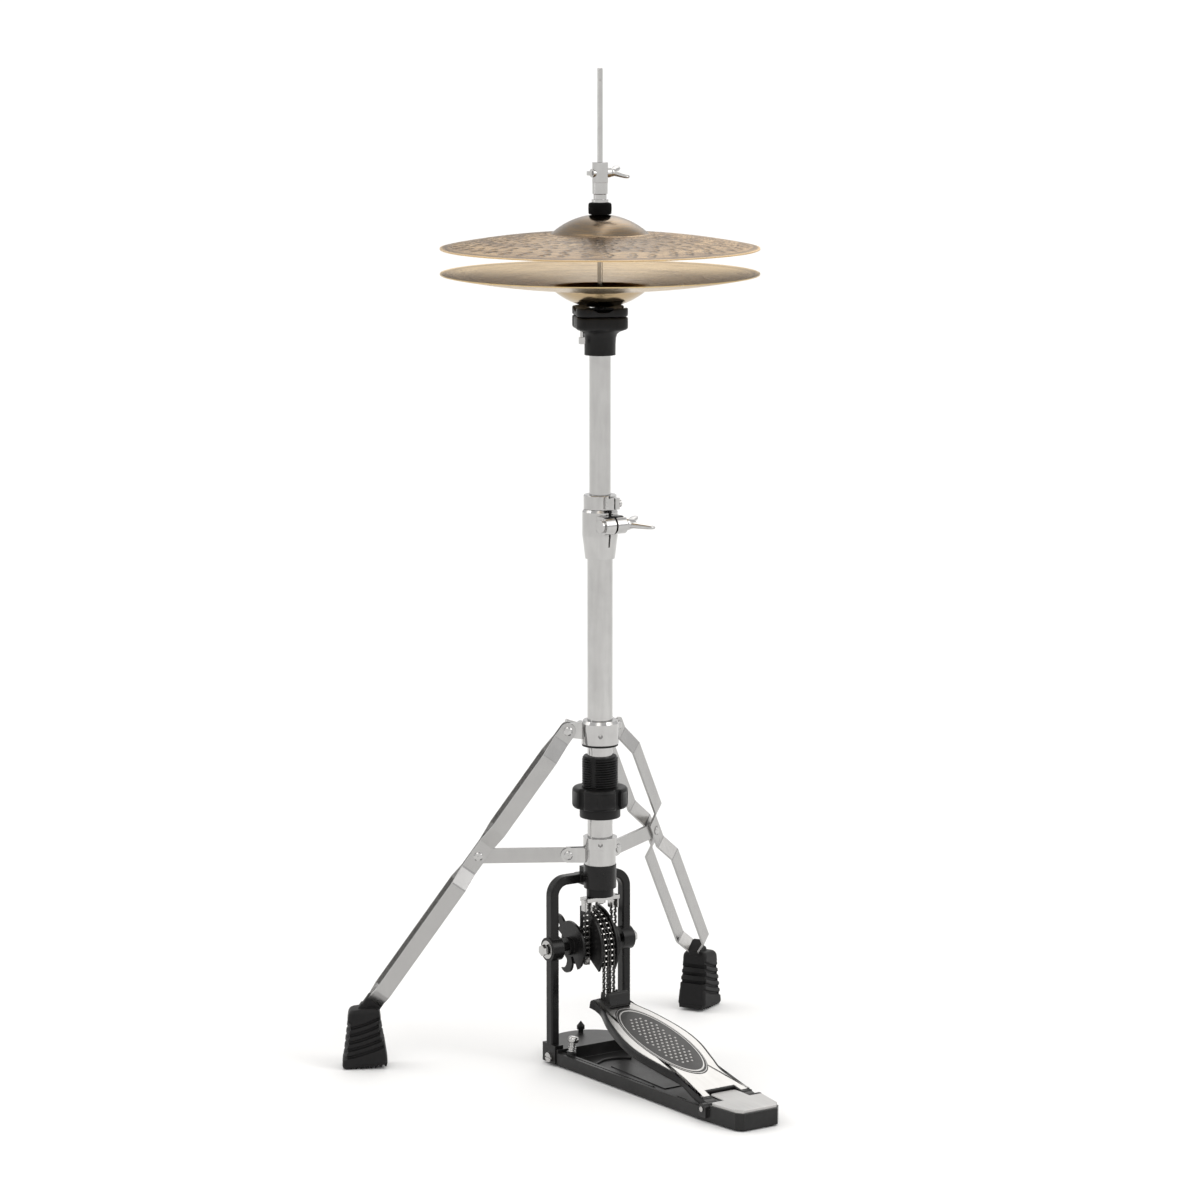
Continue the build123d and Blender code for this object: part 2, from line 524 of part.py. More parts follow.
# ================================================================ anchor spurs
spur = turned([
    (0, 1.0), (1.6, 3.4), (3.0, 5.0), (3.0, BAND_Z + 4), (4.6, BAND_Z + 4), (4.6, BAND_Z + 8),
    (0, BAND_Z + 14),
])
save("rear_spur", Pos(SPUR_X, SPUR_Y, 0) * spur)
side_spur = turned([
    (0, -15.0), (3.0, -11.0), (3.0, 14.0), (5.0, 14.6), (5.6, 17.0), (5.0, 20.0), (3.0, 21.4), (0, 21.4),
])
save("side_spur", lean * side_spur)


# ================================================================ collars
def lug(angle, z, half, shape_r, hole_r, height):
    """Lug standing out of a collar to a leg pivot, with its pivot hole."""
    arm = hull_plate([(PIVOT_R, 0, shape_r), (18.0, 0, height / 2)], 2 * half)
    hole = Pos(PIVOT_R, 0, 0) * Cylinder(hole_r, 2 * half + 2)
    return about_z(angle, Pos(0, 0, z) * Rot(90, 0, 0) * (arm - hole))


def ears(angle, z, inner, outer, shape_r, hole_r, height):
    """Pair of ears around a brace's root."""
    whole = lug(angle, z, outer, shape_r, hole_r, height)
    gap_arm = hull_plate([(60, 0, 14), (PIVOT_R - 9.4, 0, 14)], 2 * inner)
    return whole - about_z(angle, Pos(0, 0, z) * Rot(90, 0, 0) * gap_arm)


TUBE_RUN = LOWER_R + RUN
lower_collar = cyl(19.25, 252, 265) + cyl(17.9, SOCKET_Z1 + GAP, 252)
for angle in LEG_ANGLES.values():
    lower_collar += ears(angle, LOWER_PIVOT_Z, BRACE_HALF + GAP, BRACE_HALF + GAP + 3, 8.2, PIN_R + FIX, 17)
lower_collar -= cyl(TUBE_RUN, 220, 280)
lower_collar &= cyl(80, SOCKET_Z1 + GAP, 265)
SCREW_TURN = 238.0    # plan angle of the collars' grub screws
grub_hole = about_z(SCREW_TURN, xcyl(2.6 + FIX, 14, 24, 0, 258.5))
lower_collar -= grub_hole
save("lower_collar", lower_collar)

upper_collar = turned([(10, 373), (21, 373), (21, 396.5), (19, 400), (10, 400)])
for angle in LEG_ANGLES.values():
    upper_collar += lug(angle, UPPER_PIVOT_Z, LUG_HALF, 7.6, PIN_R + RUN, 20)
upper_collar += ycyl(8.0, 14, 27, 0, 387)
upper_collar -= cyl(TUBE_RUN, 360, 410)
upper_collar -= ycyl(3.5 + RUN, 10, 40, 0, 387)
upper_collar -= about_z(SCREW_TURN, xcyl(2.6 + FIX, 14, 26, 0, 384))
save("upper_collar", upper_collar)
save("collar_ring", ring(20.6, TUBE_RUN, 370.6, 373 - FIX))

leg_wing = wing_screw(3.5, 14.0, 6.6, 13.0, 22.0, 17.0, 4.2)
save("leg_wing", Pos(0, 14.6, 387) * Rot(0, 0, 90) * Rot(20, 0, 0) * leg_wing)

# ================================================================ legs
LEG_SIN = BRACE_LENGTH / LEG_TO_BRACE
LEG_COS = math.sqrt(1 - LEG_SIN ** 2)


def leg_plane(angle):
    """Plane with x down the leg from its upper pivot and y across it."""
    turn = math.radians(angle)
    out = Vector(math.cos(turn), math.sin(turn), 0)
    origin = out * PIVOT_R + Vector(0, 0, UPPER_PIVOT_Z)
    down = out * LEG_SIN - Vector(0, 0, LEG_COS)
    normal = out * LEG_COS + Vector(0, 0, LEG_SIN)
    return Plane(origin=tuple(origin), x_dir=tuple(down), z_dir=tuple(normal))


def leg_straps(angle):
    """Two bent straps that part into an upper and a lower loop."""
    near, mid = LUG_HALF + GAP + STRAP_THICK / 2, BRACE_HALF + GAP + STRAP_THICK / 2
    low = LEG_TO_BRACE
    path = [
        (-10, near), (13, near), (36.5, LOOP_HALF), (138, LOOP_HALF), (160, mid), (low + 19, mid),
        (low + 39.5, LOOP_HALF), (366, LOOP_HALF), (LEG_LENGTH - 20, 4.0), (LEG_LENGTH + 8, 4.0),
    ]
    outline = Pos(LEG_LENGTH / 2 - STRAP_WIDTH / 2, 0, 0) * Box(LEG_LENGTH, 60, STRAP_WIDTH)
    outline = fillet(outline.edges().filter_by(Axis.Y), STRAP_WIDTH / 2 - 0.1)
    straps = []
    for side in (-1, 1):
        face = strip([(s, side * t) for s, t in path], STRAP_THICK, STRAP_BEND)
        strap = extrude(face, STRAP_WIDTH / 2, both=True) & outline
        for s in (0, low):
            strap -= Pos(s, side * 10, 0) * Rot(90, 0, 0) * Cylinder(PIN_R + FIX, 22)
        straps.append((leg_plane(angle) * strap).solids()[0])
    return Compound(straps)


def dome_head(radius, height):
    """Low domed rivet head standing on z = 0."""
    shoulder = (radius, height * 0.35)
    return turned([(0, 0), (radius, 0), shoulder, (radius * 0.72, height * 0.85), (0, height)])


def leg_rivets(angle):
    """Through rivet at the upper pivot, and one short rivet in each strap at the brace's pivot."""
    outer = LUG_HALF + GAP + STRAP_THICK
    upper = Rot(90, 0, 0) * Cylinder(PIN_R, 2 * outer + 0.4)
    pieces = [upper]
    mid_in, mid_out = BRACE_HALF + GAP, BRACE_HALF + GAP + STRAP_THICK
    for side in (-1, 1):
        pieces[0] += Pos(0, side * (outer + FIX), 0) * Rot(-90 * side, 0, 0) * dome_head(HEAD_R, HEAD_H)
        shank = Rot(90, 0, 0) * Cylinder(PIN_R, STRAP_THICK + 0.4)
        short = Pos(LEG_TO_BRACE, side * (mid_in + mid_out) / 2, 0) * shank
        head = Rot(-90 * side, 0, 0) * dome_head(HEAD_R, HEAD_H)
        short += Pos(LEG_TO_BRACE, side * (mid_out + FIX), 0) * head
        short &= Pos(LEG_TO_BRACE, side * (mid_in + 20), 0) * Box(30, 40, 30)
        pieces.append(short)
    return Compound([(leg_plane(angle) * piece).solids()[0] for piece in pieces])


def foot(angle):
    """Rubber foot, wide at the floor, with the leg's end set into its neck."""
    sections = [
        Pos(0, 0, 0) * RectangleRounded(*FOOT_BASE, 9),
        Pos(-0.5, 0, 30) * RectangleRounded(FOOT_BASE[0] - 4, FOOT_BASE[1] - 3, 9),
        Pos(-6.5, 0, FOOT_H - 2) * RectangleRounded(*FOOT_TOP, 8),
    ]
    body = loft(sections)
    half = FOOT_BASE[0] / 2
    tilted = Pos(FOOT_R + half, 0, 0) * Rot(0, FOOT_TILT, 0) * Pos(-half, 0, 0) * body
    tilted &= Pos(FOOT_R, 0, 100) * Box(200, 200, 200)
    return about_z(angle, tilted)


for name, angle in LEG_ANGLES.items():
    straps = leg_straps(angle)
    save(f"{name}_leg_straps", straps)
    save(f"{name}_leg_rivets", leg_rivets(angle))
    save(f"{name}_foot", foot(angle))
    ends = [(PIVOT_R, 0, BRACE_WIDTH / 2), (PIVOT_R + BRACE_LENGTH, 0, BRACE_WIDTH / 2)]
    arm = hull_plate(ends, 2 * BRACE_HALF)
    arm -= Pos(PIVOT_R, 0, 0) * Cylinder(PIN_R + RUN, 20)
    arm -= Pos(PIVOT_R + BRACE_LENGTH, 0, 0) * Cylinder(PIN_R + 0.5, 20)
    save(f"{name}_brace", about_z(angle, Pos(0, 0, LOWER_PIVOT_Z) * Rot(90, 0, 0) * arm))

brace_rivets = []
for angle in LEG_ANGLES.values():
    out = BRACE_HALF + GAP + 3
    pin = Cylinder(PIN_R, 2 * out + 0.4)
    for side in (-1, 1):
        pin += Pos(0, 0, side * (out + FIX)) * Rot(0 if side > 0 else 180, 0, 0) * dome_head(HEAD_R, HEAD_H)
    pin = Pos(PIVOT_R, 0, LOWER_PIVOT_Z) * Rot(90, 0, 0) * pin
    brace_rivets.append(about_z(angle, pin).solids()[0])
save("brace_rivets", Compound(brace_rivets))

# ================================================================ upper tube, memory lock and seat
save("upper_tube", ring(UPPER_R, UPPER_R - UPPER_WALL, UPPER_Z0, UPPER_Z1))

lock = ring(LOCK_R, UPPER_R + FIX, LOCK_Z0, LOCK_Z1)
LOCK_TURN = -88.0     # the memory lock's split faces forward, over the clamp's barrel
lock_lug = block(12, 29, -7.5, 7.5, LOCK_Z0 + 1.5, LOCK_Z1 - 1.5) - cyl(UPPER_R + FIX, 600, 700)
lock_lug = lock_lug & cyl(28.5, 600, 700)
lock += lock_lug
lock -= block(5, 40, -0.9, 0.9, 600, 700)
lock -= ycyl(2.5 + FIX, -20, 20, 23.5, 649)
lock = chamfer(lock.faces().sort_by(Axis.Z)[-1].edges().filter_by(GeomType.CIRCLE), 0.6)
save("memory_lock", about_z(LOCK_TURN, lock))
lock_screw = ycyl(2.5, -7.5, 10.5, 23.5, 649) + ycyl(4.4, 7.5 + FIX, 10.5, 23.5, 649)
lock_screw += block(21, 26, -13, -7.5 - FIX, 646.5, 651.5)
lock_screw = about_z(LOCK_TURN, lock_screw)

SEAT_TURN = 20.0
SEAT_LOBES = (4, 28.5, 13.5, 21.8)
seat = turned([
    (5, SEAT_Z0), (17.4, SEAT_Z0), (17.4, SEAT_NECK_Z), (24, SEAT_LOBE_Z + 1), (24, SEAT_Z1), (5, SEAT_Z1),
])
seat += star(*SEAT_LOBES, SEAT_LOBE_Z, SEAT_Z1, SEAT_TURN)
seat -= cyl(UPPER_R + FIX, SEAT_Z0 - 1, UPPER_Z1 + 0.1)
seat -= cyl(4.65 + FIX, 800, 870)
seat -= cyl(2.1, 800, 870, -TILT_X)
seat += ycyl(1.5, -12, 12, TILT_X, TILT_Z)
save("seat_base", seat)

cup = star(*SEAT_LOBES, CUP_Z0, CUP_Z1, SEAT_TURN)
cup = cup - turned([(0, 862.2), (16.5, 862.2), (31.5, CUP_Z1 + 0.1), (31.5, 880), (0, 880)])
cup -= cyl(7.0, 850, 880)
cup -= ycyl(1.5 + RUN, -12.5, 12.5, TILT_X, TILT_Z)
save("seat_cup", cup)
tilt_screw = cyl(2.0, 834.5, CUP_Z0 - GAP, -TILT_X)
tilt_screw += block(-TILT_X - 2.6, -TILT_X + 2.6, -2.6, 2.6, 827.5, 835)
save("drum_key_screws", Compound([lock_screw.solids()[0], tilt_screw.solids()[0]]))
felt_r, felt_hole = 16.0, 7.0
seat_felt = turned([(felt_hole, 862.2 + FIX), (felt_r, 862.2 + FIX), (felt_r, 865.4), (felt_hole, 865.4)])
save("seat_felt", seat_felt)
seat_sleeve = ring(4.65, ROD_R + RUN, 830, 873)
seat_sleeve += ring(UPPER_R - UPPER_WALL - FIX, ROD_R + RUN, 832, UPPER_Z1 - 0.1)
save("rod_guide", seat_sleeve)


# ================================================================ cymbals
def cymbal():
    """Domed cymbal with its bell up and its edge on z = 0."""
    def bell(r):
        return BELL_TOP - BELL_SPHERE + math.sqrt(BELL_SPHERE ** 2 - r ** 2)

    def side(lift):
        start, mid, end = [(r, bell(r) + lift) for r in (HOLE_R, 34.0, BELL_R)]
        crown = ThreePointArc(start, mid, end)
        bow = ThreePointArc(end, (BOW_MID[0], BOW_MID[1] + lift), (CYMBAL_R, lift))
        return crown, bow

    under, over = side(0.0), side(CYMBAL_T)
    ends = [Line(under[0] @ 0, over[0] @ 0), Line(under[1] @ 1, over[1] @ 1)]
    face = make_face([e for part in (*under, *over, *ends) for e in part.edges()])
    return revolve(Plane.XZ * face, Axis.Z)


apex = BELL_TOP - BELL_SPHERE + math.sqrt(BELL_SPHERE ** 2 - HOLE_R ** 2) + CYMBAL_T
save("bottom_cymbal", Pos(0, 0, LOW_APEX_Z + apex) * Rot(180, 0, 0) * cymbal())
save("top_cymbal", Pos(0, 0, TOP_EDGE_Z) * cymbal())

# ================================================================ clutch
thread_bore = ROD_R + RUN
save("clutch_sleeve", ring(SLEEVE_NUT_R, thread_bore, NUT_Z0 + 1, BODY_Z0 - 1))
bottom_nut = turned([
    (SLEEVE_NUT_R + FIX, NUT_Z0), (9.5, NUT_Z0), (12.5, NUT_Z0 + 2.4), (12.5, NUT_Z1 - 2), (11, NUT_Z1),
    (SLEEVE_NUT_R + FIX, NUT_Z1),
])
save("clutch_bottom_nut", bottom_nut)
FELT_HOLE, FELT_R = 6.2, 13.0
low_felt = turned([
    (FELT_HOLE, FELT_LOW_Z0), (FELT_R, FELT_LOW_Z0), (FELT_R, FELT_LOW_Z1 - 1.1), (8.0, FELT_LOW_Z1),
    (FELT_HOLE, FELT_LOW_Z1),
])
top_felt = ring(FELT_R, FELT_HOLE, FELT_TOP_Z0, FELT_TOP_Z1)
save("clutch_felts", Compound([low_felt.solids()[0], top_felt.solids()[0]]))
washer_nut = turned([
    (SLEEVE_NUT_R + FIX, WASHER_Z0), (9.4, WASHER_Z0), (9.4, WASHER_Z0 + 3), (7.3, WASHER_Z0 + 3.4),
    (7.3, RING_Z0 - 0.6), (6.7, RING_Z0 - FIX), (SLEEVE_NUT_R + FIX, RING_Z0 - FIX),
])
save("clutch_top_nut", washer_nut)
CLUTCH_BOLT_Z = 1016.0
clutch_body = hex_prism(17.2, BODY_Z0, CLUTCH_TOP) & cyl(9.65, BODY_Z0, CLUTCH_TOP)
clutch_body += cyl(8.5, RING_Z0, BODY_Z0 + 1)
clutch_body += xcyl(5.6, 4, 12.5, 0, CLUTCH_BOLT_Z) + xcyl(4.6, -11, -4, 0, CLUTCH_BOLT_Z)
clutch_body -= cyl(thread_bore, 990, 1040) + cyl(SLEEVE_NUT_R + FIX, 990, BODY_Z0 - 0.9)
clutch_body -= xcyl(2.5 + RUN, 2, 20, 0, CLUTCH_BOLT_Z) + xcyl(2.0 + FIX, -20, -2, 0, CLUTCH_BOLT_Z)
save("clutch_body", clutch_body)
key_screw = xcyl(2.0, -12, -3.6, 0, CLUTCH_BOLT_Z) + Pos(-13.6, 0, CLUTCH_BOLT_Z) * Box(5, 4.6, 4.6)
save("clutch_key_screw", key_screw)
clutch_wing = wing_screw(2.5, 10.0, 4.8, 8.0, 19.0, 13.0, 3.2)
save("clutch_wing", Pos(3.4, 0, CLUTCH_BOLT_Z) * Rot(24, 0, 0) * clutch_wing)
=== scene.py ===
import bpy
import bmesh
import json
import math
import random
import numpy as np
from mathutils import Matrix, Vector


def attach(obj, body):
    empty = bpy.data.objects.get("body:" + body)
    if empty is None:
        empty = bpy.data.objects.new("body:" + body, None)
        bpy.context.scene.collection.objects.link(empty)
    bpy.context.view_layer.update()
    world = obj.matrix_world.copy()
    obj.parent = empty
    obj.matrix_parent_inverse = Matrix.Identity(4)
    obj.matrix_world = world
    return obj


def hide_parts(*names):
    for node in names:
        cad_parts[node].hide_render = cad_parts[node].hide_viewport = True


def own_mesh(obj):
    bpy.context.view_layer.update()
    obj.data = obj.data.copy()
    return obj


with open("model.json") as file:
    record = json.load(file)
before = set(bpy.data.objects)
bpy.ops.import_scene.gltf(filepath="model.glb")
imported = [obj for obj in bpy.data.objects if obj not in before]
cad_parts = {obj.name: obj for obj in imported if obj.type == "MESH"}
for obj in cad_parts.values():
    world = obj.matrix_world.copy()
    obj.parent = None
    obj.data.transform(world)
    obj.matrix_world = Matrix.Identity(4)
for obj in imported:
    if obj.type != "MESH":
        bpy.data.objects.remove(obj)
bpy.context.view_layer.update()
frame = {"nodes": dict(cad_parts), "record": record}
NODES = frame["nodes"]
MM = 0.001
TAU = 2 * math.pi


# ================================================================ materials
class Graph:
    """Short names for building one material's nodes."""

    def __init__(self, name):
        self.material = bpy.data.materials.new(name)
        self.material.use_nodes = True
        self.tree = self.material.node_tree
        self.tree.nodes.clear()
        self.shader = self.node("ShaderNodeBsdfPrincipled")
        out = self.node("ShaderNodeOutputMaterial")
        self.join(self.shader.outputs["BSDF"], out.inputs["Surface"])

    def node(self, kind, **props):
        made = self.tree.nodes.new(kind)
        for key, value in props.items():
            setattr(made, key, value)
        return made

    def join(self, source, target):
        if isinstance(source, (int, float, tuple)):
            target.default_value = source
        else:
            self.tree.links.new(source, target)

    def math(self, operation, a, b=0.0):
        made = self.node("ShaderNodeMath", operation=operation)
        self.join(a, made.inputs[0])
        self.join(b, made.inputs[1])
        return made.outputs[0]

    def scaled(self, vector, scale):
        made = self.node("ShaderNodeVectorMath", operation="MULTIPLY")
        self.join(vector, made.inputs[0])
        self.join(tuple(scale), made.inputs[1])
        return made.outputs[0]

    def noise(self, vector, scale, detail=3.0, rough=0.55):
        made = self.node("ShaderNodeTexNoise")
        self.join(vector, made.inputs["Vector"])
        self.join(scale, made.inputs["Scale"])
        self.join(detail, made.inputs["Detail"])
        self.join(rough, made.inputs["Roughness"])
        return made.outputs["Fac"]

    def range(self, value, low, high, to_low, to_high):
        made = self.node("ShaderNodeMapRange")
        for socket, x in zip(made.inputs, (value, low, high, to_low, to_high)):
            self.join(x, socket)
        return made.outputs[0]

    def ramp(self, value, *stops):
        made = self.node("ShaderNodeValToRGB")
        while len(made.color_ramp.elements) < len(stops):
            made.color_ramp.elements.new(0.5)
        for element, (place, color) in zip(made.color_ramp.elements, stops):
            element.position = place
            element.color = (*color, 1.0)
        self.join(value, made.inputs[0])
        return made.outputs["Color"]

    def mix(self, share, a, b):
        made = self.node("ShaderNodeMix", data_type="RGBA")
        self.join(share, made.inputs["Factor"])
        for source, socket in ((a, made.inputs["A"]), (b, made.inputs["B"])):
            self.join((*source, 1.0) if isinstance(source, tuple) else source, socket)
        return made.outputs["Result"]

    def bump(self, height, distance, strength=1.0, normal=None):
        made = self.node("ShaderNodeBump")
        self.join(strength, made.inputs["Strength"])
        self.join(distance, made.inputs["Distance"])
        self.join(height, made.inputs["Height"])
        if normal is not None:
            self.join(normal, made.inputs["Normal"])
        return made.outputs["Normal"]

    def object_space(self):
        return self.node("ShaderNodeTexCoord").outputs["Object"]

    def put(self, **sockets):
        names = {"color": "Base Color", "metal": "Metallic", "rough": "Roughness", "normal": "Normal",
                 "sheen": "Sheen Weight", "aniso": "Anisotropic", "tangent": "Tangent",
                 "spec": "Specular IOR Level"}
        for key, value in sockets.items():
            if key == "color" and isinstance(value, tuple):
                value = (*value, 1.0)
            self.join(value, self.shader.inputs[names[key]])
        return self.material


def finish_of(name, light, dark, metal, rough, spread, grain, relief, stretch=(1, 1, 1), edge=0.0,
              wear=None, **more):
    """A surface with two-tone colour, uneven gloss, fine relief and softened edges."""
    g = Graph(name)
    place = g.scaled(g.object_space(), stretch)
    fine = g.noise(place, grain, 4.0, 0.6)
    broad = g.noise(g.object_space(), 38.0, 3.0, 0.6)
    smudge = g.noise(place, grain * 0.23, 2.0, 0.5)
    color = g.ramp(g.math("ADD", g.math("MULTIPLY", broad, 0.6), g.math("MULTIPLY", smudge, 0.4)),
                   (0.32, dark), (0.66, light))
    normal = None
    if edge:
        soft = g.node("ShaderNodeBevel", samples=4)
        soft.inputs["Radius"].default_value = edge
        normal = soft.outputs["Normal"]
        if wear:
            dot = g.node("ShaderNodeVectorMath", operation="DOT_PRODUCT")
            g.join(normal, dot.inputs[0])
            g.join(g.node("ShaderNodeNewGeometry").outputs["True Normal"], dot.inputs[1])
            rim = g.range(dot.outputs["Value"], 0.995, 0.86, 0.0, 0.75)
            color = g.mix(g.math("MULTIPLY", rim, g.range(fine, 0.35, 0.62, 0.25, 1.0)), color, wear)
    gloss = g.range(g.math("ADD", g.math("MULTIPLY", fine, 0.5), g.math("MULTIPLY", broad, 0.5)),
                    0.3, 0.7, rough - spread, rough + spread)
    normal = g.bump(fine, relief, 1.0, normal)
    return g.put(color=color, metal=metal, rough=gloss, normal=normal, **more)


def radial_space(g, ring_scale, turn_scale):
    """Coordinates that run round the upright axis: x is the radius, y and z go round without a seam."""
    place = g.object_space()
    parts = g.node("ShaderNodeSeparateXYZ")
    g.join(place, parts.inputs[0])
    radius = g.math("SQRT", g.math("ADD", g.math("POWER", parts.outputs[0], 2.0),
                                   g.math("POWER", parts.outputs[1], 2.0)))
    safe = g.math("ADD", radius, 0.0001)
    made = g.node("ShaderNodeCombineXYZ")
    g.join(g.math("MULTIPLY", radius, ring_scale), made.inputs[0])
    g.join(g.math("MULTIPLY", g.math("DIVIDE", parts.outputs[0], safe), turn_scale), made.inputs[1])
    g.join(g.math("MULTIPLY", g.math("DIVIDE", parts.outputs[1], safe), turn_scale), made.inputs[2])
    return radius, made.outputs[0]


def bronze(name, gold, tan, brown, lines, contrast, bell):
    """Lathed bronze: broken concentric lines, toned bands and round highlights, hammer dents with patina
    and painted rim shade, and a bell tinted with painted reflection.
    """
    g = Graph(name)
    radius, around = radial_space(g, lines, 7.0)
    _, broad_space = radial_space(g, 60.0, 1.4)
    line = g.noise(around, 1.0, 3.0, 0.65)
    cut = g.noise(g.scaled(around, (3.1, 1.6, 1.6)), 1.0, 2.0, 0.5)
    tone = g.noise(broad_space, 1.0, 2.0, 0.5)
    toned = g.ramp(g.math("ADD", g.math("MULTIPLY", line, 0.72), g.math("MULTIPLY", tone, 0.28)),
                   (0.5 - contrast, brown), (0.5, tan), (0.5 + contrast, gold))
    toned = g.mix(g.range(cut, 0.58, 0.66, 0.0, 0.6), toned, brown)
    _, ring_space = radial_space(g, 420.0, 0.9)
    toned = g.mix(g.range(g.noise(ring_space, 1.0, 3.0, 0.6), 0.5, 0.72, 0.0, 0.5), toned, brown)
    # painted shade: the hammer dents are darkened along their rims, where their shadow would fall, and a
    # little inside, where their patina is
    dent_patina_and_shade = g.node("ShaderNodeAttribute", attribute_name="hammer_patina_and_shade").outputs["Fac"]
    toned = g.mix(g.math("MULTIPLY", dent_patina_and_shade, 0.78), toned, tuple(0.6 * v for v in brown))
    in_bell = g.range(radius, 0.0553, 0.0535, 0.0, 1.0)
    between = tuple(0.5 * (a + b) for a, b in zip(bell, tan))
    # painted reflection: the bell is tinted a dark grey-brown mottled with a paler brown, standing in for
    # the dark reflection on its polished face
    bell_tone_painted_reflection = g.ramp(g.noise(g.scaled(around, (0.35, 0.3, 0.3)), 1.0, 2.0, 0.5), (0.35, bell),
                      (0.65, between))
    toned = g.mix(in_bell, toned, bell_tone_painted_reflection)
    band = g.math("MULTIPLY", g.range(radius, 0.1694, 0.1702, 0.0, 1.0),
                  g.range(radius, 0.1752, 0.1745, 0.0, 1.0))
    toned = g.mix(g.math("MULTIPLY", band, 0.55), toned, brown)
    toned = g.mix(g.range(radius, 0.1757, 0.1763, 0.0, 0.8), toned, gold)
    gloss = g.math("ADD", g.range(line, 0.3, 0.7, 0.35, 0.22), g.math("MULTIPLY", in_bell, -0.10))
    around_z = g.node("ShaderNodeTangent", direction_type="RADIAL", axis="Z").outputs["Tangent"]
    depth = g.math("MULTIPLY", line, g.math("SUBTRACT", 1.0, g.math("MULTIPLY", in_bell, 0.75)))
    return g.put(color=toned, metal=1.0, rough=gloss, aniso=0.85, tangent=around_z,
                 normal=g.bump(depth, 0.00010))


CHROME = finish_of("bright_chrome", (0.50, 0.495, 0.488), (0.42, 0.415, 0.409), 1.0, 0.11, 0.03, 900.0,
                   0.000002,
                   stretch=(1, 1, 0.12), edge=0.0005)
SATIN_CHROME = finish_of("satin_chrome", (0.42, 0.415, 0.408), (0.38, 0.375, 0.37), 1.0, 0.25, 0.02,
                         1300.0, 0.0000012,
                         stretch=(1, 1, 0.25), edge=0.0005)
SATIN = finish_of("satin_metal", (0.50, 0.494, 0.486), (0.42, 0.414, 0.407), 1.0, 0.33, 0.05, 1500.0,
                  0.000006,
                  stretch=(1, 0.05, 0.05), edge=0.0005)
PAINT = finish_of("black_casting", (0.0090, 0.0086, 0.0086), (0.0045, 0.0043, 0.0043), 0.0, 0.30, 0.07,
                  520.0, 0.000015,
                  edge=0.0008, wear=(0.040, 0.039, 0.038), spec=0.24)
CAST = finish_of("grey_casting", (0.016, 0.0156, 0.0155), (0.008, 0.0078, 0.0078), 0.0, 0.34, 0.08,
                 700.0, 0.00003,
                 edge=0.0008, wear=(0.06, 0.059, 0.057), spec=0.28)
PLASTIC = finish_of("black_plastic", (0.0075, 0.0072, 0.0073), (0.004, 0.0038, 0.0039), 0.0, 0.42, 0.07,
                    800.0, 0.000016,
                    edge=0.0008, wear=(0.016, 0.0155, 0.0155), spec=0.2)
RUBBER = finish_of("black_rubber", (0.0085, 0.008, 0.0082), (0.004, 0.0038, 0.0039), 0.0, 0.55, 0.09,
                   900.0, 0.00003,
                   edge=0.0008, wear=(0.02, 0.0195, 0.0195), spec=0.22)
FELT = finish_of("black_felt", (0.0060, 0.0058, 0.0058), (0.0015, 0.0015, 0.0015), 0.0, 0.96, 0.03,
                 2200.0, 0.0003,
                 stretch=(1, 1, 1.8), spec=0.08, sheen=0.02)
LINKS = finish_of("blackened_steel", (0.035, 0.034, 0.033), (0.014, 0.014, 0.014), 0.85, 0.34, 0.08,
                  900.0, 0.00001,
                  edge=0.0003, wear=(0.25, 0.24, 0.23))
PINS = finish_of("bright_pins", (0.82, 0.81, 0.79), (0.60, 0.59, 0.57), 1.0, 0.2, 0.06, 900.0, 0.000005)
SPRING = finish_of("spring_wire", (0.42, 0.41, 0.40), (0.28, 0.27, 0.26), 1.0, 0.3, 0.08, 900.0,
                   0.00001)
INLAY = finish_of("badge_inlay", (0.020, 0.019, 0.019), (0.009, 0.0085, 0.0085), 0.0, 0.45, 0.09,
                  1700.0, 0.00006,
                  stretch=(1, 0.7, 1), spec=0.4)
# the last colour of each bronze is the bell's tint, a painted reflection of its polished face
TOP_BRONZE = bronze("aged_bronze", (0.66, 0.46, 0.23), (0.34, 0.21, 0.095), (0.060, 0.033, 0.015),
                    2300.0, 0.12,
                    (0.19, 0.155, 0.12))
LOW_BRONZE = bronze("lathed_bronze", (0.64, 0.48, 0.25), (0.50, 0.35, 0.165), (0.24, 0.15, 0.062),
                    3600.0, 0.17,
                    (0.36, 0.27, 0.16))
LOOKS = {
    "bright_chrome": CHROME, "satin_chrome": SATIN_CHROME, "satin_metal": SATIN, "black_casting": PAINT,
    "grey_casting": CAST, "chain_steel": LINKS, "spring_steel": SPRING, "black_plastic": PLASTIC,
    "badge": INLAY, "black_rubber": RUBBER, "black_felt": FELT, "aged_bronze": TOP_BRONZE,
    "lathed_bronze": LOW_BRONZE,
}
SLOT_OF = {part["node"]: part["material_slot"] for part in frame["record"]["subparts"]}
for name, node in NODES.items():
    node.data.materials.clear()
    node.data.materials.append(LOOKS[SLOT_OF[name]])


# ================================================================ mesh building, in millimetres
def ring_of(r, z, seg):
    """Points of a level circle about Z."""
    return [(r * math.cos(TAU * i / seg), r * math.sin(TAU * i / seg), z) for i in range(seg)]


def add_object(name, data):
    made = bpy.data.objects.new(name, data)
    bpy.context.scene.collection.objects.link(made)
    return made


